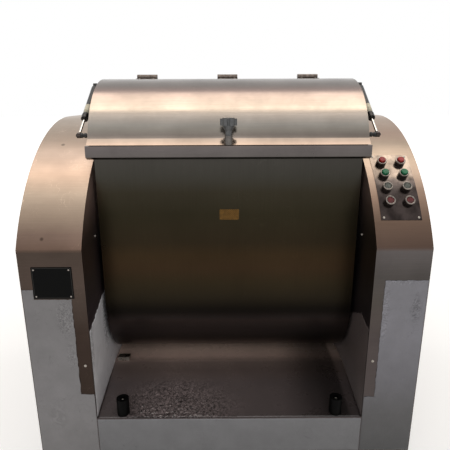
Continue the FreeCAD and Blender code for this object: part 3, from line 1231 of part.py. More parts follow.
low_studs = []
high_studs = []
for side, x, face, ear, sign in (
        ("left", f"({TROUGH_LEFT} - spring_offset)", TROUGH_LEFT, LID_LEFT, "-"),
        ("right", f"({TROUGH_RIGHT} + spring_offset)", TROUGH_RIGHT, LID_RIGHT, "+")):
    rod_bar = rod(side + "_rod_bar", "z", ("0", "0", "0"), "spring_rod_radius",
                  "spring_rod_shown + spring_rod_hidden")
    rod_blank = fuse(side + "_rod_blank", rod_bar, eye(side + "_rod_eye", "0", "spring_eye_radius"))
    rod_piece = cut(side + "_spring_rod", rod_blank,
                    eye(side + "_rod_eye_bore", "0", "stud_radius + running_gap"))
    lean(rod_piece, x)
    node(rod_piece, side + "_spring_rod")
    tube_end = f"({SPRING_LENGTH} - spring_neck_length)"
    tube = rod(side + "_tube", "z", ("0", "0", "spring_rod_shown"), "spring_tube_radius",
               f"{tube_end} - spring_rod_shown")
    neck = rod(side + "_tube_neck", "z", ("0", "0", tube_end), "spring_neck_radius",
               "spring_neck_length - (stud_radius + spring_eye_radius) / 2")
    tube_blank = fuse(side + "_tube_blank", tube, neck,
                      eye(side + "_tube_eye", SPRING_LENGTH, "spring_eye_radius"))
    tube_bore = rod(side + "_tube_bore", "z", ("0", "0", "spring_rod_shown"),
                    "spring_rod_radius + running_gap", "spring_rod_hidden + spring_rod_room")
    tube_piece = cut(side + "_spring_tube", tube_blank, tube_bore,
                     eye(side + "_tube_eye_bore", SPRING_LENGTH, "stud_radius + running_gap"))
    lean(tube_piece, x)
    node(tube_piece, side + "_spring_tube")
    outward = "0 - 1" if sign == "-" else "1"
    collar_end = f"({x} - ({outward}) * (spring_eye_width / 2 + seat_gap))"
    pin_end = f"({x} + ({outward}) * (spring_eye_width / 2 + stud_head))"

    reach = f"abs({face} - {collar_end})"
    low_studs.append(stud(side + "_low_stud", face, collar_end, pin_end, sign,
                          SPRING_LOW_Y, SPRING_LOW_Z, [
                              "0", f"({reach} - nut_height) / 2", f"{reach} - nut_height"]))
    high_studs.append(stud(side + "_high_stud", ear, collar_end, None, sign,
                           SPRING_HIGH_Y, SPRING_HIGH_Z, ["0"]))
node(group("low_spring_studs", *low_studs), "low_spring_studs")
node(group("high_spring_studs", *high_studs), "high_spring_studs")

# Build, check and write every piece

doc.recompute()
for item in doc.Objects:
    if "Invalid" in item.State or "Error" in item.State:
        raise RuntimeError("failed object: " + item.Name + " " + str(item.State))
names = [piece.Label for piece in NODES]
if len(set(names)) != len(names):
    raise RuntimeError("two pieces share a name")
for piece in NODES:
    shape = piece.Shape
    if shape.isNull() or not shape.isValid() or not shape.Solids:
        raise RuntimeError("bad shape: " + piece.Label)
for piece in NODES:
    piece.Shape.exportStep("parts/%s.step" % piece.Label)
    spread = piece.Shape.BoundBox
    print("%-24s %2d solids  %9.0f mm3  x %.1f %.1f  y %.1f %.1f  z %.1f %.1f" % (
        piece.Label, len(piece.Shape.Solids), piece.Shape.Volume, spread.XMin, spread.XMax,
        spread.YMin, spread.YMax, spread.ZMin, spread.ZMax))
print(len(NODES), "pieces")
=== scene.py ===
# %% [markdown]
# A dough mixer for a bakery: a stainless trough that tips forward between two columns.
# The exact shapes were drawn first, to the millimetre. This lesson dresses them: it gives
# every sheet, casting and cap its finish, adds the thin things that a drawing leaves out,
# such as protective film and screws, and sets up the studio that the picture is taken in.

# %% Load the drawn mixer
import bpy
import bmesh
import math
from mathutils import Matrix, Vector, noise


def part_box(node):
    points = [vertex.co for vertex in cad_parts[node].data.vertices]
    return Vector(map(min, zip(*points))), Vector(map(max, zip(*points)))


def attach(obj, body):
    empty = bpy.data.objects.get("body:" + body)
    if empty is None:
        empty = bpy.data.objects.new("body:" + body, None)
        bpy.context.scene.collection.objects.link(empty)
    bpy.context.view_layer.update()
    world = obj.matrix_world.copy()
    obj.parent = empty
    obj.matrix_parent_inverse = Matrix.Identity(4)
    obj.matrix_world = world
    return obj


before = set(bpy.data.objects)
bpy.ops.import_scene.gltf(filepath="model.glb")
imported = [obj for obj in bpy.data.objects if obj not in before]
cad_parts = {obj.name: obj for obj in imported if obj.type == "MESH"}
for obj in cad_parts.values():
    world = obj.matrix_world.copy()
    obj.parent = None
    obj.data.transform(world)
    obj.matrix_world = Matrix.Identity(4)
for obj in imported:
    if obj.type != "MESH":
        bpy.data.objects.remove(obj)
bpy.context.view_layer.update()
MM = 0.001

# %% [markdown]
# The camera comes first, because every later choice is judged through it. Its place was
# found by fitting the straight edges of both columns, the lid and the plates. It stands
# 1.2 m in front of the mixer and as high, looks down by nearly sixteen degrees, and is
# turned and rolled by a fifth of a degree. A lens as long as its sensor is wide sees 53
# degrees.

# %% Place the camera
CAMERA_PLACE = (-0.0035, -1.622, 1.1857)
YAW, PITCH, ROLL = 0.0033, 0.2735, -0.0039
LENS_MM = SENSOR_MM = 36.0
NEAREST = 0.05


def aim(yaw, pitch, roll):
    """Right, up and backward directions of a camera that looks along +Y."""
    level = math.cos(pitch)
    forward = Vector((math.sin(yaw) * level, math.cos(yaw) * level, -math.sin(pitch)))
    right = Vector((math.cos(yaw), -math.sin(yaw), 0))
    up = right.cross(forward)
    tilted_right = right * math.cos(roll) + up * math.sin(roll)
    tilted_up = up * math.cos(roll) - right * math.sin(roll)
    return tilted_right, tilted_up, -forward


eye = bpy.data.cameras.new("photo_camera")
eye.lens = LENS_MM
eye.sensor_width = SENSOR_MM
eye.clip_start = NEAREST
camera = bpy.data.objects.new("photo_camera", eye)
bpy.context.scene.collection.objects.link(camera)
turn = Matrix(aim(YAW, PITCH, ROLL)).transposed()
camera.matrix_world = Matrix.Translation(CAMERA_PLACE) @ turn.to_4x4()
bpy.context.scene.camera = camera
bpy.context.scene.view_settings.view_transform = "Standard"
print("camera at", tuple(round(value, 3) for value in camera.location))

# %% [markdown]
# Colours are written as on a web page and turned to the linear numbers that light adds up
# in. One helper adds a shader node with its settings and links, so that a finish reads as a
# short list of what happens to the surface.

# %% Helpers for finishes
dressed_nodes = set()


def linear(code):
    """A web colour as the linear red, green, blue and one for alpha."""
    channels = [int(code[start:start + 2], 16) / 255 for start in (1, 3, 5)]
    return [c / 12.92 if c <= 0.04045 else ((c + 0.055) / 1.055) ** 2.4 for c in channels] + [1]


def add(mat, kind, links=None, stops=None, **settings):
    """The outputs of a new shader node, given its properties, what feeds it and ramp stops."""
    made = mat.node_tree.nodes.new("ShaderNode" + kind)
    for key, value in settings.items():
        setattr(made, key, value)
    for key, value in (links or {}).items():
        socket = made.inputs[key]
        if isinstance(value, bpy.types.NodeSocket):
            mat.node_tree.links.new(value, socket)
        else:
            socket.default_value = value
    for index, (place, code) in enumerate(stops or []):
        ramp = made.color_ramp.elements
        stop = ramp[index] if index < 2 else ramp.new(place)
        stop.position = place
        stop.color = linear(code) if isinstance(code, str) else (code, code, code, 1)
    return made.outputs


def finish(name, **sockets):
    """A new finish and its surface shader."""
    mat = bpy.data.materials.new(name)
    mat.use_nodes = True
    shader = mat.node_tree.nodes["Principled BSDF"]
    for key, value in sockets.items():
        shader.inputs[key.replace("_", " ")].default_value = value
    return mat, shader


def join(mat, shader, **sockets):
    """Let nodes feed sockets of a shader."""
    for key, value in sockets.items():
        mat.node_tree.links.new(value, shader.inputs[key.replace("_", " ")])


def every(millimetres):
    """Scale of a pattern whose features are this wide, on coordinates in metres."""
    return 1000.0 / millimetres


def dress(mat, *names):
    """Give drawn pieces a finish."""
    for name in names:
        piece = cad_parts[name]
        piece.data.materials.clear()
        piece.data.materials.append(mat)
        dressed_nodes.add(name)


print("white is", linear("#ffffff"))

# %% [markdown]
# Steel has hardly a colour of its own: it shows the room. Where such a machine works, a
# sheet that stands upright mirrors a dark floor, but a studio's floor is pale. So each sheet
# gets a ramp of tones along one of its own directions, in millimetres. On the sheets in view
# that ramp holds painted light: painted reflection of the dark floor where a sheet faces it,
# and painted highlight bands where it faces the lamp, which the lamp's own reflection
# brightens further. Handling adds fine curved scratches, and small spots of painted shade
# stand for dented places. Each is a factor that the tone is multiplied by, so one piece can
# have more wear than another without a new finish.

# %% Painted tones, wear and dent shade
MIX_FIRST, MIX_SECOND, MIX_RESULT = 6, 7, 2  # where a Mix node keeps its colours
SCUFF_HALF = 0.008  # how near its middle the wavy noise counts as a scratch
SCUFF_PATCH_MM = 90
# A dented spot is painted as shade: a darker disc whose core is fully darkened.
DENT_CORE, DENT_SHADE_TONE = 0.4, 0.45  # share of a mark that is fully dull, and how dull


def ramp_along(mat, place, axis, stops):
    """Tones along one direction of a piece. The stops are millimetres and web colours."""
    first, last = stops[0][0], stops[-1][0]
    parts = add(mat, "SeparateXYZ", {"Vector": place})
    share = add(mat, "MapRange", {
        "Value": parts["xyz".index(axis)],
        "From Min": first * MM, "From Max": last * MM})[0]
    spread = [((at - first) / (last - first), code) for at, code in stops]
    return add(mat, "ValToRGB", {"Fac": share}, stops=spread)[0]


# This multiplier carries real wear and also painted shade, such as the apron's darkening across its
# width and the painted shade of crumples.
def wear_and_painted_shade(mat, tone, *factors):
    """A tone multiplied by each factor in turn."""
    for factor in factors:
        tone = add(mat, "Mix", {"Factor": 1.0, MIX_FIRST: tone, MIX_SECOND: factor},
                   data_type="RGBA", blend_type="MULTIPLY")[MIX_RESULT]
    return tone


def scuffs(mat, place, size_mm):
    """Thin curved scratches from 0 to 1: the lines where a wavy noise crosses its middle."""
    wave = add(mat, "TexNoise", {
        "Vector": place, "Scale": every(size_mm), "Detail": 1.0, "Distortion": 0.5})[0]
    line = add(mat, "ValToRGB", {"Fac": wave}, stops=[
        (0.5 - SCUFF_HALF, 0.0), (0.5, 1.0), (0.5 + SCUFF_HALF, 0.0)])[0]
    patch = add(mat, "TexNoise", {
        "Vector": place, "Scale": every(SCUFF_PATCH_MM), "Detail": 2.0})[0]
    where = add(mat, "ValToRGB", {"Fac": patch}, stops=[(0.5, 0.0), (0.62, 1.0)])[0]
    return add(mat, "Math", {0: line, 1: where}, operation="MULTIPLY")[0]


def dent_shade(mat, place, spots):
    """One, but less on small spots of painted shade where the sheet is dented. A spot is its middle
    and radius in millimetres.
    """
    result = None
    for *middle, radius in spots:
        away = add(mat, "VectorMath", {0: place, 1: [v * MM for v in middle]},
                   operation="DISTANCE")["Value"]
        mark = add(mat, "MapRange", {
            "Value": away, "From Min": radius * DENT_CORE * MM, "From Max": radius * MM,
            "To Min": DENT_SHADE_TONE, "To Max": 1.0})[0]
        result = mark if result is None else add(
            mat, "Math", {0: result, 1: mark}, operation="MULTIPLY")[0]
    return result


print("a scratch appears about every", SCUFF_PATCH_MM, "mm")

# %% [markdown]
# Stainless sheet is brushed at the mill: fine scratches all run one way, so a lamp's
# reflection smears across them. The scratches are noise stretched along the grain, and not a
# wave pattern, which would repeat. Handling leaves wide smudges, which shift the shine more
# than the colour. The real scratch is about 0.2 mm wide and too fine to show, so it is drawn
# 2 mm wide.

# %% Brushed stainless steel
GRAIN = {"x": (0.015, 1, 1), "y": (1, 0.015, 1), "z": (1, 1, 0.015)}
SCRATCH_DEPTH = 0.0004


def stainless(name, tones, along, grain, roughness, scratch_mm=2.0, smudge_mm=140,
              dull=0.82, scuff_mm=40, scuff_gain=1.18, marks=(), metallic=1.0):
    """Brushed sheet. The tones run along a direction and hold painted light and shade, and dull is
    how much a smudge darkens.
    """
    mat, shader = finish(name, Metallic=metallic)
    place = add(mat, "TexCoord")["Object"]
    stretched = add(mat, "Mapping", {"Vector": place, "Scale": GRAIN[grain]})[0]
    scratch = add(mat, "TexNoise", {
        "Vector": stretched, "Scale": every(scratch_mm), "Detail": 3.0,
        "Roughness": 0.6})[0]
    smudge = add(mat, "TexNoise", {
        "Vector": place, "Scale": every(smudge_mm), "Detail": 4.0,
        "Roughness": 0.55})[0]
    smudges_and_painted_reflection = add(mat, "ValToRGB", {"Fac": smudge}, stops=[(0.34, dull), (0.62, 1.0)])[0]
    streak = add(mat, "ValToRGB", {"Fac": scratch}, stops=[(0.3, 0.9), (0.7, 1.0)])[0]
    scratched = add(mat, "MapRange", {
        "Value": scuffs(mat, place, scuff_mm), "To Min": 1.0, "To Max": scuff_gain})[0]
    colour = wear_and_painted_shade(mat, ramp_along(mat, place, along, tones), smudges_and_painted_reflection, streak, scratched)
    if marks:
        colour = wear_and_painted_shade(mat, colour, dent_shade(mat, place, marks))
    shine = add(mat, "MapRange", {
        "Value": smudge, "From Min": 0.3, "From Max": 0.7,
        "To Min": roughness + 0.05, "To Max": roughness - 0.04})[0]
    bump = add(mat, "Bump", {"Height": scratch, "Strength": 0.05, "Distance": SCRATCH_DEPTH})[0]
    join(mat, shader, Base_Color=colour, Roughness=shine, Normal=bump)
    return mat


# Two small dented spots on the left cover, painted as shade.
LEFT_DENT_SHADE = [(-529, -126, 1042, 8), (-532, -373, 795, 7)]
# The covers' ramps are painted light: dark below the knee, a painted reflection of a dark floor,
# and bright round 900 to 960 mm on the arch, a painted highlight. The right cover is a copy with
# its own painted light, greyer low down.
dress(stainless("brushed_stainless_left", [
    (60, "#382f2a"), (500, "#3a302b"), (600, "#4a403a"), (660, "#4c413b"), (757, "#473d37"),
    (768, "#5e4c42"), (806, "#736055"), (857, "#9b8877"), (909, "#b8a491"), (961, "#b29a88"),
    (1014, "#9f8d80"), (1070, "#9d8c7d"), (1122, "#b1a191"),
], "z", "x", 0.36, dull=0.88, scuff_mm=24, scuff_gain=1.7, marks=LEFT_DENT_SHADE), "left_cover")
dress(stainless("brushed_stainless_right", [
    (60, "#504a49"), (470, "#4e4746"), (540, "#544d4a"), (600, "#4e4945"), (680, "#4c4846"),
    (757, "#5a5554"), (768, "#54443c"), (832, "#685549"), (900, "#917969"), (961, "#a49080"),
    (1001, "#a69483"), (1042, "#938475"), (1070, "#9d8778"), (1122, "#ae9987"),
], "z", "x", 0.36, dull=0.88), "right_cover")
# The lid's ramp is painted light: a bright band round 1140 mm, a painted highlight where the lamp
# is mirrored, and darker painted reflection above and below it.
dress(stainless("brushed_stainless_lid", [
    (1055, "#968477"), (1066, "#84776d"), (1082, "#766d66"), (1097, "#8f887f"),
    (1111, "#9d978f"), (1125, "#aea49a"), (1139, "#c1b4a7"), (1153, "#b6a899"),
    (1168, "#a29588"), (1197, "#98887e"), (1212, "#8f7e78"), (1228, "#7c746f"),
    (1251, "#746962"),
], "z", "x", 0.20, smudge_mm=110, scuff_gain=1.07), "lid_shell", "rear_cover")
dress(stainless("brushed_stainless_rim", [
    (1000, "#595551"), (1046, "#645e5d"), (1053, "#6a615e"),
], "z", "x", 0.24), "trough_front_rim", "trough_back_rim")
dress(stainless("brushed_stainless_side", [
    (60, "#776c65"), (600, "#7d7168"), (1122, "#a39385"),
], "z", "z", 0.34, smudge_mm=260, dull=0.9), "left_outer_panel", "right_outer_panel",
      "left_back_panel", "right_back_panel", "rear_panel")
# The trough's ramp is painted reflection of a dark floor: dark olive, nearly black from 465 to 500
# mm, and painted lighter on its underside.
dress(stainless("brushed_stainless_trough", [
    (250, "#665a54"), (335, "#463d39"), (372, "#4d4541"), (400, "#574d49"), (428, "#4e4441"),
    (443, "#403633"), (455, "#312927"), (464, "#262120"), (474, "#1f1a18"), (485, "#171412"),
    (500, "#171411"), (545, "#262119"), (590, "#2d261b"), (645, "#34281c"), (690, "#33281b"),
    (735, "#2b241a"), (830, "#2a261c"), (900, "#312d24"), (955, "#3a3833"), (1053, "#464340"),
], "z", "z", 0.30, smudge_mm=260, dull=0.88), "trough_shell", "trough_end_left", "trough_end_right")
# The inner panels are lit and shaded copies of one steel: the left is painted near white above 900
# mm, a painted light, and the right is a darker copy of the same ramp, a painted shade.
dress(stainless("brushed_stainless_inner_left", [
    (60, "#483c39"), (560, "#6d5f62"), (600, "#635759"), (650, "#574d4e"), (700, "#514544"),
    (757, "#4f413e"), (790, "#5f4d48"), (832, "#92796f"), (870, "#c3a197"), (909, "#ecc6b7"),
    (950, "#fcd5c5"), (1122, "#f3cfc3"),
], "z", "z", 0.34, metallic=0.8), "left_inner_panel")
dress(stainless("brushed_stainless_inner_right", [
    (60, "#3b312e"), (560, "#41393a"), (600, "#3d3537"), (650, "#322b2c"), (700, "#2f2827"),
    (757, "#2f2624"), (790, "#3a2e2b"), (832, "#554640"), (870, "#76615a"), (909, "#a4897f"),
    (1122, "#b2988f"),
], "z", "z", 0.34, metallic=0.8), "right_inner_panel")
# The apron's steel is painted bright at the back, a painted light, and dark towards the front edge,
# a painted shade.
dress(stainless("brushed_stainless_apron", [
    (-390, "#5d5454"), (-240, "#6f6463"), (-165, "#89776f"), (-110, "#c5ab9f"),
    (390, "#d8bba8"),
], "y", "x", 0.26, smudge_mm=90, metallic=0.4), "front_panel", "apron_deck")
print("steel finishes:", [mat.name for mat in bpy.data.materials if "stainless" in mat.name])

# %% [markdown]
# Behind the sheets the machine is working iron: cast bearings, cut gears, a painted frame
# and an enamelled motor. Castings are matt and slightly pitted, cut steel is brighter on its
# flanks, and paint is smooth with a little orange peel. Bought rubber and plastic parts are
# moulded, with a fine even skin. One function mottles a plain finish at a size in
# millimetres, which is all that these small or hidden pieces need.

# %% Iron, paint, rubber and plastic
def mottled(name, light, dark, size_mm, metallic, roughness, depth, coat=0.0, spread=0.06,
            gloss=0.5):
    """A finish whose colour, shine and surface wander at one size.

    Depth is in millimetres, and gloss is the specular level.
    """
    mat, shader = finish(name, Metallic=metallic, Coat_Weight=coat, Coat_Roughness=0.15,
                         Specular_IOR_Level=gloss)
    place = add(mat, "TexCoord")["Object"]
    speck = add(mat, "TexNoise", {
        "Vector": place, "Scale": every(size_mm), "Detail": 5.0, "Roughness": 0.6})[0]
    tone = add(mat, "ValToRGB", {"Fac": speck}, stops=[(0.35, dark), (0.65, light)])[0]
    shine = add(mat, "MapRange", {
        "Value": speck, "From Min": 0.3, "From Max": 0.7,
        "To Min": roughness - spread, "To Max": roughness + spread})[0]
    bump = add(mat, "Bump", {"Height": speck, "Strength": 0.3, "Distance": depth * MM})[0]
    join(mat, shader, Base_Color=tone, Roughness=shine, Normal=bump)
    return mat


dress(mottled("oiled_cast_iron", "#4b4a49", "#353434", 3, 0.85, 0.55, 0.3),
      "trunnion_bearings", "pinion_shaft_bearings", "left_trunnion", "right_trunnion",
      "large_pulley", "motor_pulley")
dress(mottled("cut_gear_steel", "#7d7872", "#625e5a", 8, 1.0, 0.34, 0.05),
      "agitator_gear", "drive_pinion", "pinion_shaft", "tilt_pinion", "tilt_sector", "motor_shaft")
zinc = mottled("bright_zinc_plate", "#b3ada4", "#8f8981", 12, 1.0, 0.30, 0.04)
dress(mottled("tarnished_hinge_steel", "#6b625c", "#4a423d", 9, 1.0, 0.34, 0.06),
      "fixed_hinge_leaves", "lid_hinge_leaves")
dress(mottled("grey_frame_primer", "#5f6468", "#50555a", 18, 0.0, 0.55, 0.1), "welded_frame")
dress(mottled("blue_motor_enamel", "#3c5670", "#2f4961", 10, 0.0, 0.38, 0.08, coat=0.3),
      "drive_motor", "tilt_gearmotor")
dress(mottled("black_lacquered_steel", "#191716", "#0e0d0c", 5, 0.2, 0.32, 0.03, coat=0.15,
              gloss=0.3), "low_spring_studs", "high_spring_studs", "left_spring_tube",
      "right_spring_tube")
dress(mottled("moulded_black_rubber", "#050505", "#030303", 4, 0.0, 0.5, 0.12, gloss=0.05),
      "tilt_bumpers")
dress(mottled("belt_rubber", "#211f1e", "#151413", 6, 0.0, 0.75, 0.2), "drive_belts")
dress(mottled("moulded_phenolic", "#636465", "#4a4b4c", 2, 0.0, 0.26, 0.02), "star_knob")
dress(mottled("grey_sleeve", "#6f6a66", "#57524f", 3, 0.7, 0.38, 0.03), "knob_sleeve")
dress(mottled("black_button_collar", "#352c29", "#1d1918", 7, 0.5, 0.28, 0.02, spread=0.04,
              gloss=0.3), "button_housings")
ring_chrome = mottled("bright_chrome_ring", "#8f8780", "#5f5852", 5, 1.0, 0.14, 0.01,
                      spread=0.03)
dress(mottled("polished_stainless", "#b5b0a9", "#9b968f", 30, 1.0, 0.2, 0.02), "agitator")
dress(zinc, "levelling_feet", "stop_block")
print("finishes so far:", len(bpy.data.materials))

# %% [markdown]
# The control plate is dark satin metal with a fine vertical grain, not a paint. Its tone is
# painted: above about 950 mm lighter, a painted reflection of a bright ceiling, and below
# that nearly black where it stands up, a painted reflection of a dark room, with a step
# between them. Its strong smudges are painted patches of reflection too.

# %% Control plate
dress(stainless("satin_control_plate", [
    (830, "#433b39"), (900, "#4d4441"), (945, "#6a605b"), (953, "#8b7d72"),
    (1010, "#97897c"),
], "z", "z", 0.20, scratch_mm=1.2, smudge_mm=36, dull=0.45), "control_plate")
control_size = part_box("control_plate")[1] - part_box("control_plate")[0]
print("control plate spans", [round(value, 3) for value in control_size])

# %% [markdown]
# The caps are injection moulded: red and green ones are solid colours with a soft gloss, and
# the lower rows are lenses, one row smoky and one dark red. A lens looks deep because light
# enters it, so it gets a clear coat and a darker, mottled body, which costs far less than
# glass and shows the same at this size.

# %% Caps of the push buttons
def moulded(name, light, dark, roughness, coat):
    """Moulded plastic with flow marks 6 mm wide."""
    return mottled(name, light, dark, 6, 0.0, roughness, 0.02, coat=coat, spread=0.04, gloss=0.3)


CAP_FINISHES = {
    "highest": moulded("red_moulded_cap", "#a6120d", "#7c0806", 0.4, 0.1),
    "upper": moulded("green_moulded_cap", "#0f754c", "#075837", 0.4, 0.1),
    "lower": moulded("smoky_lens", "#5c6057", "#30342e", 0.25, 0.3),
    "lowest": moulded("dark_red_lens", "#711a18", "#3e0d0c", 0.25, 0.3),
}
for row, mat in CAP_FINISHES.items():
    dress(mat, "button_cap_left_" + row, "button_cap_right_" + row)
print("caps dressed:", 2 * len(CAP_FINISHES))

# %% [markdown]
# A new piece is built as a bmesh, in millimetres, where the real one sits. This helper
# scales it to metres, points its faces outwards, gives it a finish and tells it which moving
# body it rides on.

# %% Helper that ends a piece
SAME_SPOT = 0.001


def settle(name, shape, mat, body, smooth=True):
    """Turn a bmesh in millimetres into a finished piece of the mixer."""
    bmesh.ops.remove_doubles(shape, verts=shape.verts, dist=SAME_SPOT)
    bmesh.ops.recalc_face_normals(shape, faces=shape.faces)
    bmesh.ops.scale(shape, vec=(MM, MM, MM), verts=shape.verts)
    for face in shape.faces:
        face.smooth = smooth
    mesh = bpy.data.meshes.new(name)
    shape.to_mesh(mesh)
    shape.free()
    mesh.materials.append(mat)
    piece = bpy.data.objects.new(name, mesh)
    bpy.context.scene.collection.objects.link(piece)
    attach(piece, body)
    return piece


def corner(name, high=False):
    """A corner of a drawn piece's box, in millimetres."""
    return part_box(name)[1 if high else 0] * 1000


FRONT = corner("left_cover").y
LEFT_OUT, LEFT_IN = corner("left_cover").x, corner("left_cover", True).x
RIGHT_IN, RIGHT_OUT = corner("right_cover").x, corner("right_cover", True).x
print("front plane", round(FRONT, 1), " gap between columns", round(RIGHT_IN - LEFT_IN, 1))

# %% [markdown]
# The factory leaves its protective film on the lower sheets: a thin grey plastic skin, cut
# off by hand. It lies flat in the middle and lifts into small creases along its cut edges. A
# sheet is a grid that is bisected along the cuts, where the bare rectangles are then taken
# out, so it stays one piece without seams. Cloth simulation would need the glue as well, so
# a crease is drawn from noise instead: where noise changes sign, one minus its size makes a
# sharp ridge.

# %% Shape of a protective film
FILM_STEP = 4.5
FILM_THICK = 0.12
FILM_GAP = 0.25
CUT_SNAP = 0.3  # a cut this near to a grid line takes the line
RAGGED, RAGGED_MM, RAGGED_REACH = 2.4, 14, 3  # how far, how fine and how near to a cut
noise.seed_set(1)  # noise_vector starts from the clock unless it is seeded


def crease(spot, size_mm, sharp=5.0):
    """Height from 0 to 1 of a creased film at a spot, with ridges about size_mm apart."""
    bend = noise.noise(spot / size_mm)
    return max(0.0, 1.0 - sharp * abs(bend)) ** 1.5


def away_from(x, z, line):
    """How far a place is from a straight cut between two places."""
    (x0, z0), (x1, z1) = line
    run = Vector((x1 - x0, z1 - z0))
    share = max(0.0, min(1.0, Vector((x - x0, z - z0)).dot(run) / run.length_squared))
    return (Vector((x0, z0)) + run * share - Vector((x, z))).length


def flat_sheet(low, high, bare=()):
    """A grid in X and Z from a low to a high corner, with rectangles taken out."""
    shape = bmesh.new()
    size = Vector(high) - Vector(low)
    bmesh.ops.create_grid(shape, x_segments=round(size.x / FILM_STEP),
                          y_segments=round(size.y / FILM_STEP), size=0.5)
    bmesh.ops.scale(shape, vec=(size.x, size.y, 1), verts=shape.verts)
    bmesh.ops.rotate(shape, verts=shape.verts, cent=(0, 0, 0),
                     matrix=Matrix.Rotation(math.pi / 2, 3, "X"))
    bmesh.ops.translate(shape, verts=shape.verts,
                        vec=(low[0] + size.x / 2, 0, low[1] + size.y / 2))
    for x0, z0, x1, z1 in bare:
        cuts = [((x, 0, 0), (1, 0, 0)) for x in (x0, x1)]
        cuts += [((0, 0, z), (0, 0, 1)) for z in (z0, z1)]
        for place, way in cuts:
            bmesh.ops.bisect_plane(
                shape, geom=shape.verts[:] + shape.edges[:] + shape.faces[:],
                dist=CUT_SNAP, plane_co=place, plane_no=way)
        inside = [face for face in shape.faces
                  if x0 < face.calc_center_median().x < x1
                  and z0 < face.calc_center_median().z < z1]
        bmesh.ops.delete(shape, geom=inside, context="FACES")
    return shape


def lift_film(name, shape, cuts, mat, height, size_mm=16, flat_share=0.16, reach_mm=26):
    """Crease a sheet, most of all near its cuts, lift it forward and give it thickness."""
    edge = {vert for line in shape.edges if line.is_boundary for vert in line.verts}
    for vert in shape.verts:
        spot = vert.co.copy()
        near = min(away_from(spot.x, spot.z, cut) for cut in cuts)
        share = flat_share + (1 - flat_share) * math.exp(-near / reach_mm)
        ridges = 0.6 * crease(spot, size_mm) + 0.4 * crease(spot * 2.1, size_mm)
        if vert in edge and near < RAGGED_REACH:
            ragged = noise.noise_vector(spot / RAGGED_MM)
            vert.co += Vector((ragged.x, 0, ragged.z)) * RAGGED
        vert.co.y -= FILM_GAP + FILM_THICK + ridges * share * height
    bmesh.ops.recalc_face_normals(shape, faces=shape.faces)
    bmesh.ops.solidify(shape, geom=shape.faces[:], thickness=FILM_THICK)
    return settle(name, shape, mat, "root")


print("film", FILM_THICK, "mm thick on a grid of", FILM_STEP, "mm")

# %% [markdown]
# The film is polyethylene, blown to a milky sheet. Over steel it greys the metal and hides
# most of its shine, but its own skin is glossy, which a thin coat gives. Where it is
# wrinkled, valleys look dark and ridges glint, finer than the mesh can show. So a field of
# wrinkles is one more factor on the tone: painted shade in its valleys and a painted glint
# on its ridges.

# %% Finish of a protective film
WRINKLED_CORE = 0.45  # share of a field's radius in which it is fully wrinkled
FILM_SCUFF_MM, FILM_SCUFF_TONE = 30, 0.72


def painted_crumple_shading(mat, place, fields):
    """One outside the fields, and inside them painted shade in valleys and a painted glint on
    ridges.

    A field is its middle, its stretch along each axis, its radius, the size of a wrinkle
    and the factors in a valley and on a ridge. Sizes are in millimetres.
    """
    factors = []
    for middle, stretch, radius, size_mm, valley, ridge in fields:
        moved = add(mat, "VectorMath", {0: place, 1: [v * MM for v in middle]},
                    operation="SUBTRACT")[0]
        scaled = add(mat, "VectorMath", {0: moved, 1: stretch}, operation="MULTIPLY")[0]
        away = add(mat, "VectorMath", {0: scaled}, operation="LENGTH")["Value"]
        inside = add(mat, "MapRange", {
            "Value": away, "From Min": radius * WRINKLED_CORE * MM, "From Max": radius * MM,
            "To Min": 1.0, "To Max": 0.0})[0]
        wrinkle = add(mat, "TexNoise", {
            "Vector": place, "Scale": every(size_mm), "Detail": 3.0, "Roughness": 0.6,
            "Distortion": 1.4})[0]
        factor = add(mat, "MapRange", {
            "Value": wrinkle, "From Min": 0.38, "From Max": 0.62,
            "To Min": valley, "To Max": ridge})[0]
        factors.append(add(mat, "Mix", {
            "Factor": inside, MIX_FIRST: (1, 1, 1, 1), MIX_SECOND: factor},
            data_type="RGBA")[MIX_RESULT])
    return wear_and_painted_shade(mat, *factors)


def film_finish(name, tones, fields=(), metallic=0.25):
    """Milky plastic skin over steel. Its tones run up the piece, and the fields get a painted shade
    and glint of wrinkles.
    """
    mat, shader = finish(name, Coat_Weight=0.3, Coat_Roughness=0.22, Roughness=0.42,
                         Metallic=metallic)
    place = add(mat, "TexCoord")["Object"]
    wide = add(mat, "TexNoise", {
        "Vector": place, "Scale": every(60), "Detail": 5.0, "Roughness": 0.62})[0]
    fine = add(mat, "TexNoise", {
        "Vector": place, "Scale": every(9), "Detail": 4.0, "Roughness": 0.7,
        "Distortion": 1.2})[0]
    cloudy = add(mat, "ValToRGB", {"Fac": wide}, stops=[(0.34, 0.86), (0.66, 1.0)])[0]
    rubbed = add(mat, "MapRange", {
        "Value": scuffs(mat, place, FILM_SCUFF_MM),
        "To Min": 1.0, "To Max": FILM_SCUFF_TONE})[0]
    colour = wear_and_painted_shade(mat, ramp_along(mat, place, "z", tones), cloudy, rubbed)
    if fields:
        colour = wear_and_painted_shade(mat, colour, painted_crumple_shading(mat, place, fields))
    bump = add(mat, "Bump", {"Height": fine, "Strength": 0.4, "Distance": 0.0015})[0]
    join(mat, shader, Base_Color=colour, Normal=bump)
    return mat


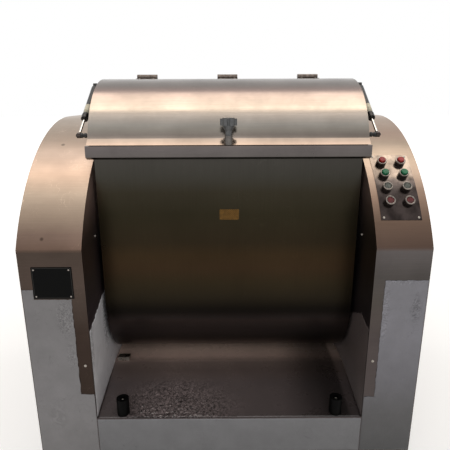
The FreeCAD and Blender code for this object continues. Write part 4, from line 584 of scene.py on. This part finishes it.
left_film_mat = film_finish("polyethylene_film_left", [
    (60, "#7b797a"), (300, "#7d7b7d"), (650, "#757374")], [
    ((-482, -389, 545), (1, 0, 0.45), 34, 7, 0.62, 1.3),
    ((-475, -389, 420), (1, 0, 0.3), 18, 7, 0.7, 1.2),
    ((-540, -389, 200), (1, 0, 0.6), 40, 22, 0.86, 1.08)])
right_film_mat = film_finish("polyethylene_film_right", [
    (60, "#454546"), (200, "#535254"), (330, "#6b6a70"), (480, "#7b7a81"), (670, "#7b7a80")], [
    ((482, -389, 560), (1, 0, 0.12), 16, 8, 0.72, 1.3),
    ((574, -389, 575), (1, 0, 0.4), 22, 12, 0.5, 1.1),
    ((530, -389, 663), (0.15, 0, 1), 12, 9, 0.8, 1.3)])
front_film_mat = film_finish("polyethylene_film_front", [(60, "#6b6b6d"), (200, "#737376")])
print("film finishes:", [mat.name for mat in bpy.data.materials if "film" in mat.name])

# %% [markdown]
# On each column the film ends below a level cut, and a strip beside the gap is bare. On the
# left the cut also steps down under the name plate. The right film has a crease of its own
# beside the outer edge. The front sheet's film is whole, and lifts only in one corner.

# %% Film on the columns and the front
FILM_LOW = 64.0
LEFT_TOP, LEFT_NOTCH, LEFT_STRIP_LOW = 642.0, 611.0, 283.0
RIGHT_TOP, RIGHT_STRIP_LOW = 667.0, 268.0
LEFT_STRIP, RIGHT_STRIP = -458.0, 474.0
FRONT_TOP = 188.0
BEYOND = 8.0  # a bare corner reaches this far past the film

left_sheet = flat_sheet((LEFT_OUT + 2, FILM_LOW), (LEFT_IN - 1, LEFT_TOP), [
    (LEFT_STRIP, LEFT_STRIP_LOW, LEFT_IN, LEFT_TOP + BEYOND),
    (-569, LEFT_NOTCH, LEFT_IN, LEFT_TOP + BEYOND)])
left_film = lift_film("left_column_film", left_sheet, [
    ((LEFT_STRIP, LEFT_STRIP_LOW), (LEFT_STRIP, LEFT_NOTCH)),
    ((LEFT_STRIP, LEFT_STRIP_LOW), (LEFT_IN, LEFT_STRIP_LOW)),
    ((-500, LEFT_NOTCH), (LEFT_STRIP, LEFT_NOTCH))], left_film_mat, 2.6, size_mm=13)
right_sheet = flat_sheet((RIGHT_IN + 1, FILM_LOW), (RIGHT_OUT - 2, RIGHT_TOP), [
    (RIGHT_IN, RIGHT_STRIP_LOW, RIGHT_STRIP, RIGHT_TOP + BEYOND)])
right_film = lift_film("right_column_film", right_sheet, [
    ((RIGHT_STRIP, 300), (RIGHT_STRIP, RIGHT_TOP)),
    ((RIGHT_STRIP, RIGHT_TOP), (RIGHT_OUT, RIGHT_TOP)),
    ((RIGHT_IN, RIGHT_STRIP_LOW), (RIGHT_STRIP, RIGHT_STRIP_LOW)),
    ((575, 540), (583, 640))], right_film_mat, 2.6, size_mm=13)
front_sheet = flat_sheet((LEFT_IN + 1, FILM_LOW), (RIGHT_IN - 1, FRONT_TOP))
front_film = lift_film("front_panel_film", front_sheet, [
    ((RIGHT_IN - 30, FRONT_TOP), (RIGHT_IN, FRONT_TOP))], front_film_mat, 2.4)
column_films = (left_film, right_film, front_film)
for sheet in column_films:
    sheet.data.transform(Matrix.Translation((0, FRONT * MM, 0)))
print("film faces:", sum(len(sheet.data.polygons) for sheet in column_films))

# %% [markdown]
# The apron keeps its film too. It lies flat nearly everywhere, and only at the front left has
# it lifted into a field of small crumples that glitter, with painted shade and painted glint
# added to their tone. So one sheet covers the apron and deck, with a finer grid where it
# crumples, and the lift fades to nothing around that field. The sheet's tone is painted
# bright at the back, a painted light, and falls off to the right and the front, a painted
# shade.

# %% Crumpled film on the apron
APRON_SHEET = 2.5
APRON_LOW = corner("front_panel", True).z + APRON_SHEET
APRON_HIGH = corner("apron_deck", True).z
APRON_TURN = corner("stop_block").y
APRON_GAP, APRON_CRUMPLE, APRON_CRUMPLE_MM = 0.2, 2.6, 13
PATCH_LEFT, PATCH_RIGHT, PATCH_DEPTH = -350.0, 40.0, 190.0


def apron_height(y):
    """Height of the steel: a slope at the front, level behind it."""
    share = max(0.0, min(1.0, (y - FRONT) / (APRON_TURN - FRONT)))
    return APRON_LOW + share * (APRON_HIGH - APRON_LOW)


def crumple_share(x, y):
    """How much of the full lift the film has at a place: none at the borders of the patch."""
    across = (x - PATCH_LEFT) / (PATCH_RIGHT - PATCH_LEFT)
    back = (y - FRONT) / PATCH_DEPTH
    side = min(1.0, across * 5, (1 - across) * 3)
    return max(0.0, side) * max(0.0, 1 - back - 0.4 * max(0.0, across - 0.4))


apron_mat, apron_shader = finish("clear_film_on_steel", Coat_Weight=0.2, Coat_Roughness=0.2,
                                 Metallic=0.05)
apron_place = add(apron_mat, "TexCoord")["Object"]
apron_painted_light = ramp_along(apron_mat, apron_place, "y", [
    (-390, "#5d5454"), (-240, "#6f6463"), (-175, "#7c6c66"), (-135, "#8f7d75"),
    (-95, "#ecccbd"), (-40, "#ffe2d0"), (60, "#ffe2d0")])
# Across the apron the tone is painted darker towards the right, a painted shade, with a lighter
# strip at the right edge, a painted reflection of the column's film.
apron_painted_shade = ramp_along(apron_mat, apron_place, "x", [
    (-415, 0.8), (-300, 0.78), (-200, 0.92), (0, 0.82), (200, 0.68), (290, 0.29),
    (350, 0.15), (400, 0.15), (411, 0.4), (440, 0.4)])
apron_noise = add(apron_mat, "TexNoise", {
    "Vector": apron_place, "Scale": every(70), "Detail": 5.0, "Roughness": 0.6})[0]
apron_cloud = add(apron_mat, "ValToRGB", {"Fac": apron_noise},
                  stops=[(0.34, 0.88), (0.64, 1.0)])[0]
apron_painted_crumple_shading = painted_crumple_shading(apron_mat, apron_place, [
    ((-165, -350, 195), (0.62, 1, 0), 150, 8, 0.15, 2.3)])
apron_shine = add(apron_mat, "MapRange", {
    "Value": apron_noise, "From Min": 0.3, "From Max": 0.7,
    "To Min": 0.34, "To Max": 0.24})[0]
apron_fine = add(apron_mat, "TexNoise", {
    "Vector": apron_place, "Scale": every(7), "Detail": 3.0, "Distortion": 1.0})[0]
apron_bump = add(apron_mat, "Bump", {
    "Height": apron_fine, "Strength": 0.12, "Distance": 0.001})[0]
join(apron_mat, apron_shader, Roughness=apron_shine, Normal=apron_bump,
     Base_Color=wear_and_painted_shade(apron_mat, apron_painted_light, apron_painted_shade, apron_cloud, apron_painted_crumple_shading))

APRON_START, APRON_BACK = FRONT + 3, 59.0
apron_size = Vector((RIGHT_IN - LEFT_IN - 4, APRON_BACK - APRON_START))
apron_sheet = bmesh.new()
bmesh.ops.create_grid(apron_sheet, x_segments=170, y_segments=90, size=0.5)
bmesh.ops.scale(apron_sheet, vec=(apron_size.x, apron_size.y, 1), verts=apron_sheet.verts)
bmesh.ops.translate(apron_sheet, verts=apron_sheet.verts,
                    vec=((LEFT_IN + RIGHT_IN) / 2, APRON_START + apron_size.y / 2, 0))
field = [edge for edge in apron_sheet.edges
         if all(crumple_share(vert.co.x, vert.co.y) > 0 for vert in edge.verts)]
bmesh.ops.subdivide_edges(apron_sheet, edges=field, cuts=1, use_grid_fill=True)
for vert in apron_sheet.verts:
    ridges = (crease(vert.co, APRON_CRUMPLE_MM, sharp=3.2)
              + 0.7 * crease(vert.co * 1.9, APRON_CRUMPLE_MM, sharp=3.2))
    lift = APRON_CRUMPLE * ridges * crumple_share(vert.co.x, vert.co.y)
    vert.co.z = apron_height(vert.co.y) + APRON_GAP + FILM_THICK + lift
bmesh.ops.recalc_face_normals(apron_sheet, faces=apron_sheet.faces)
bmesh.ops.solidify(apron_sheet, geom=apron_sheet.faces[:], thickness=FILM_THICK)
apron_film = settle("apron_film", apron_sheet, apron_mat, "root")
print("apron film:", len(apron_film.data.polygons), "faces")

# %% [markdown]
# The inner sides of the columns carry film below a slanting cut. It stands beside the
# moving trough, so it is nearly flat. On the left it is painted near white, a painted light,
# and has torn into small crumples along its cut; on the right it is a darker copy, a painted
# shade, and cut lower. Its upper edge is a broken line, so each stretch of it gives one
# four-sided face, which is then subdivided.

# %% Film inside the columns
left_inner_mat = film_finish("polyethylene_film_inner_left", [
    (180, "#efeef2"), (560, "#f3f2f6")], [
    ((LEFT_IN, -200, 470), (0, 1, 0.28), 46, 11, 0.25, 1.1),
    ((LEFT_IN, -370, 440), (0, 1, 0.2), 18, 9, 0.5, 1.1)], metallic=0.0)
right_inner_mat = film_finish("polyethylene_film_inner_right", [
    (180, "#857c7a"), (330, "#645a58"), (520, "#605654")], metallic=0.2)
LEFT_CUT = [(-383, 501), (-207, 554), (100, 560)]
LEFT_FOLD = ((-205, 560), (-150, 250))
RIGHT_CUT = [(-383, 505), (-304, 519), (-200, 470), (100, 470)]
INNER_FILMS = (
    ("left", LEFT_IN, 1, 2.2, left_inner_mat, LEFT_CUT, LEFT_FOLD),
    ("right", RIGHT_IN, -1, 0.8, right_inner_mat, RIGHT_CUT, None),
)
INNER_LOW = 2
for side, x, out, height, mat, cut, fold in INNER_FILMS:
    sheet = bmesh.new()
    stretches = list(zip(cut, cut[1:]))
    for (y0, z0), (y1, z1) in stretches:
        spots = ((x, y0, apron_height(y0) + INNER_LOW), (x, y1, apron_height(y1) + INNER_LOW),
                 (x, y1, z1), (x, y0, z0))
        face = sheet.faces.new([sheet.verts.new(spot) for spot in spots])
        bmesh.ops.subdivide_edges(sheet, edges=face.edges[:], cuts=40, use_grid_fill=True)
    bmesh.ops.remove_doubles(sheet, verts=sheet.verts, dist=0.01)
    for vert in sheet.verts:
        top = min(away_from(vert.co.y, vert.co.z, line) for line in stretches)
        near = min(top, away_from(vert.co.y, vert.co.z, fold)) if fold else top
        share = 0.12 + 0.88 * math.exp(-near / 30)
        vert.co.x += out * (FILM_GAP + FILM_THICK + height * share * crease(vert.co, 18))
        if top < 2:
            vert.co.z += 5 * noise.noise(vert.co / 12)
    bmesh.ops.recalc_face_normals(sheet, faces=sheet.faces)
    bmesh.ops.solidify(sheet, geom=sheet.faces[:], thickness=FILM_THICK)
    inner = settle(side + "_inner_film", sheet, mat, "root")
    print(inner.name, len(inner.data.polygons), "faces")

# %% [markdown]
# Pan head screws hold the sheets. A head could be spun from a profile, but a short cylinder
# with its rim bevelled into a dome needs no drawing. Its top is inset and pushed in for the
# driver. One function makes it, turned to face the way that its sheet faces.

# %% Screws
DOME_SHARE, RECESS_INSET, RECESS_DEPTH, STANDING = 0.7, 0.25, 0.45, 0.3


def place_along(shape, verts, spot, facing):
    """Turn verts from +Z to a direction and carry them to a spot."""
    turned = Vector((0, 0, 1)).rotation_difference(Vector(facing)).to_matrix()
    bmesh.ops.rotate(shape, verts=verts, cent=(0, 0, 0), matrix=turned)
    bmesh.ops.translate(shape, verts=verts, vec=spot)


def screw(shape, spot, facing, radius=4.5, height=2.4):
    """Add a pan head with a driver recess to a bmesh."""
    before = set(shape.verts)
    made = bmesh.ops.create_cone(shape, cap_ends=True, segments=24, radius1=radius,
                                 radius2=radius, depth=height)
    rim = [edge for edge in {e for v in made["verts"] for e in v.link_edges}
           if all(v.co.z > 0 for v in edge.verts)]
    bmesh.ops.bevel(shape, geom=rim, offset=height * DOME_SHARE, offset_type="OFFSET",
                    segments=4, profile=0.5, affect="EDGES", material=-1, clamp_overlap=True)
    head = [v for v in shape.verts if v not in before]
    top = max((f for v in head for f in v.link_faces), key=lambda f: f.calc_center_median().z)
    bmesh.ops.inset_individual(shape, faces=[top], thickness=radius * RECESS_INSET)
    pushed = bmesh.ops.extrude_discrete_faces(shape, faces=[top])["faces"][0]
    bmesh.ops.translate(shape, verts=pushed.verts, vec=(0, 0, -height * RECESS_DEPTH))
    head = [v for v in shape.verts if v not in before]
    place_along(shape, head, Vector(spot) + Vector(facing).normalized() * height * STANDING,
                facing)


sheet_screws = bmesh.new()
for x, z in ((-436, 386), (459, 397)):
    screw(sheet_screws, (x, FRONT, z), (0, -1, 0), height=2.0)
for x, out in ((LEFT_IN, 1), (RIGHT_IN, -1)):
    for y, z in ((-242, 765), (150, 1050), (330, 700)):
        screw(sheet_screws, (x, y, z), (out, 0, 0))
settle("panel_screws", sheet_screws, zinc, "root")

ARCH_RADIUS, ARCH_Y, ARCH_Z = 635.0, 181.9, 487.0
KNEE_HEIGHT = 766.0
KNEE = math.asin((KNEE_HEIGHT - ARCH_Z) / ARCH_RADIUS)
PLATE_THICK = 1.5


def on_arch(x, along, lift=0.0):
    """A spot on the right cover's arch and the direction straight out of it."""
    angle = KNEE + along / ARCH_RADIUS
    out = Vector((0, -math.cos(angle), math.sin(angle)))
    return Vector((x, ARCH_Y, ARCH_Z)) + out * (ARCH_RADIUS + lift), out


plate_screws = bmesh.new()
for x, along in ((469, 93), (572, 93), (469, 316), (572, 316)):
    spot, out = on_arch(x, along, PLATE_THICK)
    screw(plate_screws, spot, out, radius=3.6, height=2.2)
settle("control_plate_screws", plate_screws, zinc, "root")
print("the control plate's arch starts at", round(math.degrees(KNEE), 1), "degrees")

# %% [markdown]
# The name plate is black anodised aluminium with four bright rivets and a thin bright line
# round its edge. It is blank. Rivets and line are nearly flush, so they are masks on the
# plate's own coordinates and not geometry: folding the plate about its middle puts all four
# rivets in one place.

# %% Blank name plate
RIVET_INSET, RIVET_IN, RIVET_OUT = 8, 2.3, 2.7
LINE_INSET, LINE_HALF = 3.2, 0.6
plate_low, plate_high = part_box("nameplate")
plate_middle = (plate_low + plate_high) / 2
plate_half = (plate_high - plate_low) / 2
name_mat, name_shader = finish("black_anodised_aluminium", Specular_IOR_Level=0.06)
name_place = add(name_mat, "TexCoord")["Object"]
centred = add(name_mat, "VectorMath", {0: name_place, 1: plate_middle}, operation="SUBTRACT")[0]
folded = add(name_mat, "VectorMath", {0: centred}, operation="ABSOLUTE")[0]
flat = add(name_mat, "VectorMath", {0: folded, 1: (1, 0, 1)}, operation="MULTIPLY")[0]
rivet_place = (plate_half.x - RIVET_INSET * MM, 0, plate_half.z - RIVET_INSET * MM)
rivet_away = add(name_mat, "VectorMath", {0: flat, 1: rivet_place},
                 operation="DISTANCE")["Value"]
rivet_mask = add(name_mat, "MapRange", {
    "Value": rivet_away, "From Min": RIVET_IN * MM, "From Max": RIVET_OUT * MM,
    "To Min": 1.0, "To Max": 0.0})[0]
edge_parts = add(name_mat, "VectorMath", {
    0: flat, 1: (plate_half.x, 0, plate_half.z)}, operation="SUBTRACT")[0]
edge_axes = add(name_mat, "SeparateXYZ", {"Vector": edge_parts})
edge_away = add(name_mat, "Math", {0: edge_axes[0], 1: edge_axes[2]}, operation="MAXIMUM")[0]
edge_line = add(name_mat, "Math", {
    0: edge_away, 1: -LINE_INSET * MM, 2: LINE_HALF * MM}, operation="COMPARE")[0]
name_grain = add(name_mat, "TexNoise", {
    "Vector": name_place, "Scale": every(3), "Detail": 4.0, "Roughness": 0.7})[0]
name_black = add(name_mat, "ValToRGB", {"Fac": name_grain},
                 stops=[(0.35, "#040404"), (0.7, "#0a0b0b")])[0]
lined = add(name_mat, "Mix", {
    "Factor": edge_line, MIX_FIRST: name_black, MIX_SECOND: linear("#3c3b39")},
    data_type="RGBA")[MIX_RESULT]
name_tone = add(name_mat, "Mix", {
    "Factor": rivet_mask, MIX_FIRST: lined, MIX_SECOND: linear("#8d8680")},
    data_type="RGBA")[MIX_RESULT]
name_shine = add(name_mat, "MapRange", {"Value": name_grain, "To Min": 0.5, "To Max": 0.4})[0]
join(name_mat, name_shader, Base_Color=name_tone, Metallic=rivet_mask, Roughness=name_shine)
dress(name_mat, "nameplate")
print("name plate is", round(plate_half.x * 2000), "by", round(plate_half.z * 2000), "mm")

# %% [markdown]
# Each push button has a chromed ring pressed over its collar. The ring is a small profile
# spun about the button's own axis, which stands square on the arch. The two lens rows have a
# slightly smaller bore, so they show a little more chrome.

# %% Chrome rings of the push buttons
BEZEL_HEIGHT, BEZEL_RADIUS = 14.0, 14.75
BUTTON_START, BUTTON_STEP = 143, 48
RING_ROWS = (("lowest", 10.5), ("lower", 10.5), ("upper", 10.7), ("highest", 10.7))


def spun(shape, profile, steps=48):
    """Spin a closed profile of (radius, height) about Z into a ring."""
    before = set(shape.verts)
    verts = [shape.verts.new((radius, 0, height)) for radius, height in profile]
    edges = [shape.edges.new((verts[i - 1], verts[i])) for i in range(len(verts))]
    bmesh.ops.spin(shape, geom=verts + edges, cent=(0, 0, 0), axis=(0, 0, 1), dvec=(0, 0, 0),
                   angle=2 * math.pi, steps=steps, use_merge=True)
    return [vert for vert in shape.verts if vert not in before]


def round_profile(inner, outer, low, high, corner_size):
    """A rectangle with its upper corners rounded off."""
    points = [(inner, low), (outer, low)]
    for middle, start in ((outer - corner_size, 0), (inner + corner_size, 90)):
        for step in range(5):
            angle = math.radians(start + step * 22.5)
            points.append((middle + corner_size * math.cos(angle),
                           high - corner_size + corner_size * math.sin(angle)))
    return points


rings = bmesh.new()
for row, (height_name, bore) in enumerate(RING_ROWS):
    profile = round_profile(bore, outer=BEZEL_RADIUS + 0.35, low=-4.6, high=0.9, corner_size=1.5)
    for side in ("left", "right"):
        cap_low, cap_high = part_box(f"button_cap_{side}_{height_name}")
        spot, out = on_arch((cap_low.x + cap_high.x) / 2 / MM,
                            BUTTON_START + BUTTON_STEP * row, PLATE_THICK + BEZEL_HEIGHT)
        place_along(rings, spun(rings, profile), spot, out)
settle("button_rings", rings, ring_chrome, "root")
print("rings:", 2 * len(RING_ROWS))

# %% [markdown]
# The gas springs are bought parts: a dark tube with a pale paper band round its middle, a
# knurled ferrule at its mouth and a chromed rod that ends in a dark eye. Rod and eye are one
# drawn piece, so the eye is a mask round the lower pivot. Band and ferrule are sleeves that
# hug the tube, spun about its line from the lower pivot to the upper one, and they ride on
# the tube.

# %% Band, ferrule and rod of the gas springs
PIVOT_LOW = Vector((0, -246.5, 1081))
PIVOT_HIGH = Vector((0, -23.5, 1230))
SPRING_WAY = (PIVOT_HIGH - PIVOT_LOW).normalized()
EYE_REACH = 13.0
rod_mat, rod_shader = finish("chromed_rod_with_dark_eye", Metallic=1.0, Roughness=0.1)
rod_place = add(rod_mat, "TexCoord")["Object"]
rod_side_on = add(rod_mat, "VectorMath", {0: rod_place, 1: (0, 1, 1)}, operation="MULTIPLY")[0]
from_eye = add(rod_mat, "VectorMath", {0: rod_side_on, 1: PIVOT_LOW * MM},
               operation="DISTANCE")["Value"]
eye_mask = add(rod_mat, "MapRange", {
    "Value": from_eye,
    "From Min": (EYE_REACH - 1) * MM, "From Max": EYE_REACH * MM})[0]
rod_tone = add(rod_mat, "Mix", {
    "Factor": eye_mask, MIX_FIRST: linear("#3a3431"), MIX_SECOND: linear("#c4beb6")},
    data_type="RGBA")[MIX_RESULT]
join(rod_mat, rod_shader, Base_Color=rod_tone)
dress(rod_mat, "left_spring_rod", "right_spring_rod")

paper = mottled("cream_paper_label", "#d9d2bd", "#c6bea6", 7, 0.0, 0.6, 0.03)
ferrule_mat = mottled("blackened_ferrule", "#3a3735", "#242221", 3, 0.7, 0.3, 0.04)
BAND = [(9.55, 0), (9.75, 0), (9.75, 42), (9.55, 42)]
FERRULE = [(9.5, 0), (10.6, 0), (11.0, 1), (11.0, 6), (10.2, 7), (11.0, 8), (11.0, 13),
           (10.2, 14), (11.0, 15), (11.0, 20), (10.4, 22), (9.5, 22)]
SLEEVES = (("_spring_band", BAND, 106, paper, True),
           ("_spring_ferrule", FERRULE, 80.5, ferrule_mat, False))
for side in ("left", "right"):
    tube_low, tube_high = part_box(side + "_spring_tube")
    x = (tube_low.x + tube_high.x) / 2 / MM
    for label, profile, start, mat, smooth in SLEEVES:
        sleeve = bmesh.new()
        verts = spun(sleeve, profile, steps=40)
        place_along(sleeve, verts, Vector((x, 0, 0)) + PIVOT_LOW + SPRING_WAY * start,
                    SPRING_WAY)
        settle(side + label, sleeve, mat, side + "_tube", smooth=smooth)
print("spring line rises", round(math.degrees(math.asin(SPRING_WAY.z)), 1), "degrees")

# %% [markdown]
# A small foil label sits in the middle of the trough's front. It carries only a plain
# chequered emboss, in gold on dark foil, which a checker pattern gives without any drawing.
# It is a thin plate, and only the edges that run through it are bevelled, so its corners are
# round and its face stays flat.

# %% Blank foil label
gold, gold_shader = finish("gold_foil", Metallic=0.9)
gold_place = add(gold, "TexCoord")["Object"]
gold_check = add(gold, "TexChecker", {
    "Vector": gold_place, "Color1": linear("#785625"), "Color2": linear("#2b2319"),
    "Scale": every(3.4)})["Color"]
gold_worn = add(gold, "TexNoise", {"Vector": gold_place, "Scale": every(9), "Detail": 3.0})[0]
gold_fade = add(gold, "ValToRGB", {"Fac": gold_worn}, stops=[(0.3, 0.6), (0.7, 1.0)])[0]
gold_shine = add(gold, "MapRange", {"Value": gold_worn, "To Min": 0.3, "To Max": 0.5})[0]
gold_bump = add(gold, "Bump", {"Height": gold_check, "Strength": 0.3, "Distance": 0.0004})[0]
join(gold, gold_shader, Base_Color=wear_and_painted_shade(gold, gold_check, gold_fade), Roughness=gold_shine,
     Normal=gold_bump)

TROUGH_Y, TROUGH_RADIUS = 43.5, 270.0
FOIL_SIZE, FOIL_CORNER = (62, 0.3, 34), 4
FOIL_PLACE = (15, TROUGH_Y - TROUGH_RADIUS - FOIL_SIZE[1] / 2, 829)
foil = bmesh.new()
made = bmesh.ops.create_cube(foil, size=1.0)["verts"]
bmesh.ops.scale(foil, vec=FOIL_SIZE, verts=made)
bmesh.ops.translate(foil, verts=made, vec=FOIL_PLACE)
through = [e for e in foil.edges if abs(e.verts[0].co.y - e.verts[1].co.y) > 0.1]
bmesh.ops.bevel(foil, geom=through, offset=FOIL_CORNER, offset_type="OFFSET", segments=5,
                profile=0.5, affect="EDGES", material=-1)
settle("blank_foil_label", foil, gold, "trough", smooth=False)

# %% [markdown]
# Low screws fix the hinge leaves, four to a hinge. Half of them ride on the lid and half on
# the trough, so they are two pieces. A larger screw sits at the bottom of each rubber
# bumper's recess.

# %% Small fasteners on moving and fixed pieces
HINGE_PLACES, SCREW_SHIFT, LEAF_REACH = (-268.5, 12.5, 293.5), 24, 23
LEAF_THICK = 3
LID_TOP = corner("fixed_hinge_leaves").z
for body, reach in (("lid", -LEAF_REACH), ("trough", LEAF_REACH)):
    heads = bmesh.new()
    for middle in HINGE_PLACES:
        for shift in (-SCREW_SHIFT, SCREW_SHIFT):
            screw(heads, (middle + shift, TROUGH_Y + reach, LID_TOP + LEAF_THICK), (0, 0, 1),
                  radius=4.0, height=1.2)
    settle(body + "_hinge_screws", heads, zinc, body)
bolts = bmesh.new()
for x in (-334.5, 359.5):
    screw(bolts, (x, FRONT + 25, 241), (0, 0, 1), radius=7.0, height=5.0)
settle("bumper_bolts", bolts, zinc, "root")
print("hinge screws:", 4 * len(HINGE_PLACES), " bumper bolts:", 2)

# %% [markdown]
# The studio: an overhead softbox as long as the mixer, because its reflection draws the
# bright bands on the arches and the lid, over the painted highlight in the sheets' tones. The
# world lights the machine as a quiet grey and shows white to the camera and in mirrors, so
# the dark of upright steel is painted reflection in its tones. The floor glows for them
# alone, so it is pale and still keeps the machine's shadow.

# %% Floor, backdrop and lamps
ROOM_LIGHT = 0.36
FLOOR_REACH = 30


def plain_board(name, corners, mat):
    """A flat board of the studio."""
    shape = bmesh.new()
    shape.faces.new([shape.verts.new(spot) for spot in corners])
    mesh = bpy.data.meshes.new(name)
    shape.to_mesh(mesh)
    shape.free()
    mesh.materials.append(mat)
    board = bpy.data.objects.new(name, mesh)
    bpy.context.scene.collection.objects.link(board)
    return board


def is_shown(owner):
    """One for camera, mirror and glass rays, and nought for the light that falls on things."""
    rays = add(owner, "LightPath")
    total = rays["Is Camera Ray"]
    for kind in ("Is Glossy Ray", "Is Transmission Ray"):
        total = add(owner, "Math", {0: total, 1: rays[kind]}, operation="MAXIMUM")[0]
    return total


floor_mat, floor_shader = finish("pale_floor", Roughness=0.8, Base_Color=linear("#efedea"),
                                 Emission_Color=(1, 1, 1, 1))
floor_place = add(floor_mat, "TexCoord")["Object"]
floor_away = add(floor_mat, "VectorMath", {0: floor_place}, operation="LENGTH")["Value"]
glow = add(floor_mat, "MapRange", {
    "Value": floor_away, "From Min": 1.0, "From Max": 4.0,
    "To Min": 0.42, "To Max": 0.8})[0]
floor_glow = add(floor_mat, "Math", {0: glow, 1: is_shown(floor_mat)}, operation="MULTIPLY")[0]
join(floor_mat, floor_shader, Emission_Strength=floor_glow)
plain_board("floor", [(x * FLOOR_REACH, y * FLOOR_REACH, 0)
                      for x, y in ((-1, -1), (1, -1), (1, 1), (-1, 1))], floor_mat)

world = bpy.data.worlds.new("studio")
world.use_nodes = True
bpy.context.scene.world = world
backdrop = world.node_tree.nodes["Background"]
backdrop.inputs["Color"].default_value = (1, 1, 1, 1)
strength = add(world, "MapRange", {
    "Value": is_shown(world), "To Min": ROOM_LIGHT, "To Max": 1.0})[0]
join(world, backdrop, Strength=strength)


def softbox(name, place, target, width, height, watts, colour=(1, 1, 1)):
    """A rectangular lamp at a place, turned to a target."""
    lamp = bpy.data.lights.new(name, "AREA")
    lamp.shape = "RECTANGLE"
    lamp.size = width
    lamp.size_y = height
    lamp.energy = watts
    lamp.color = colour
    holder = bpy.data.objects.new(name, lamp)
    bpy.context.scene.collection.objects.link(holder)
    facing = (Vector(target) - Vector(place)).to_track_quat("-Z", "Y").to_matrix()
    holder.matrix_world = Matrix.Translation(place) @ facing.to_4x4()


softbox("overhead_softbox", place=(0, 0.05, 3.6), target=(0, 0.05, 0), width=3.8, height=1.6,
        watts=50, colour=(1.0, 0.92, 0.83))
softbox("front_fill", place=(-0.4, -3.8, 2.4), target=(0, 0, 0.6), width=3.4, height=2.4,
        watts=30)
print("lamps:", [lamp.name for lamp in bpy.data.lights])

# %% [markdown]
# Last, the drawn pieces that got no finish are listed, and the lesson ends.

# %% List pieces without a finish
print("drawn pieces without a finish:", sorted(set(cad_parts) - dressed_nodes))
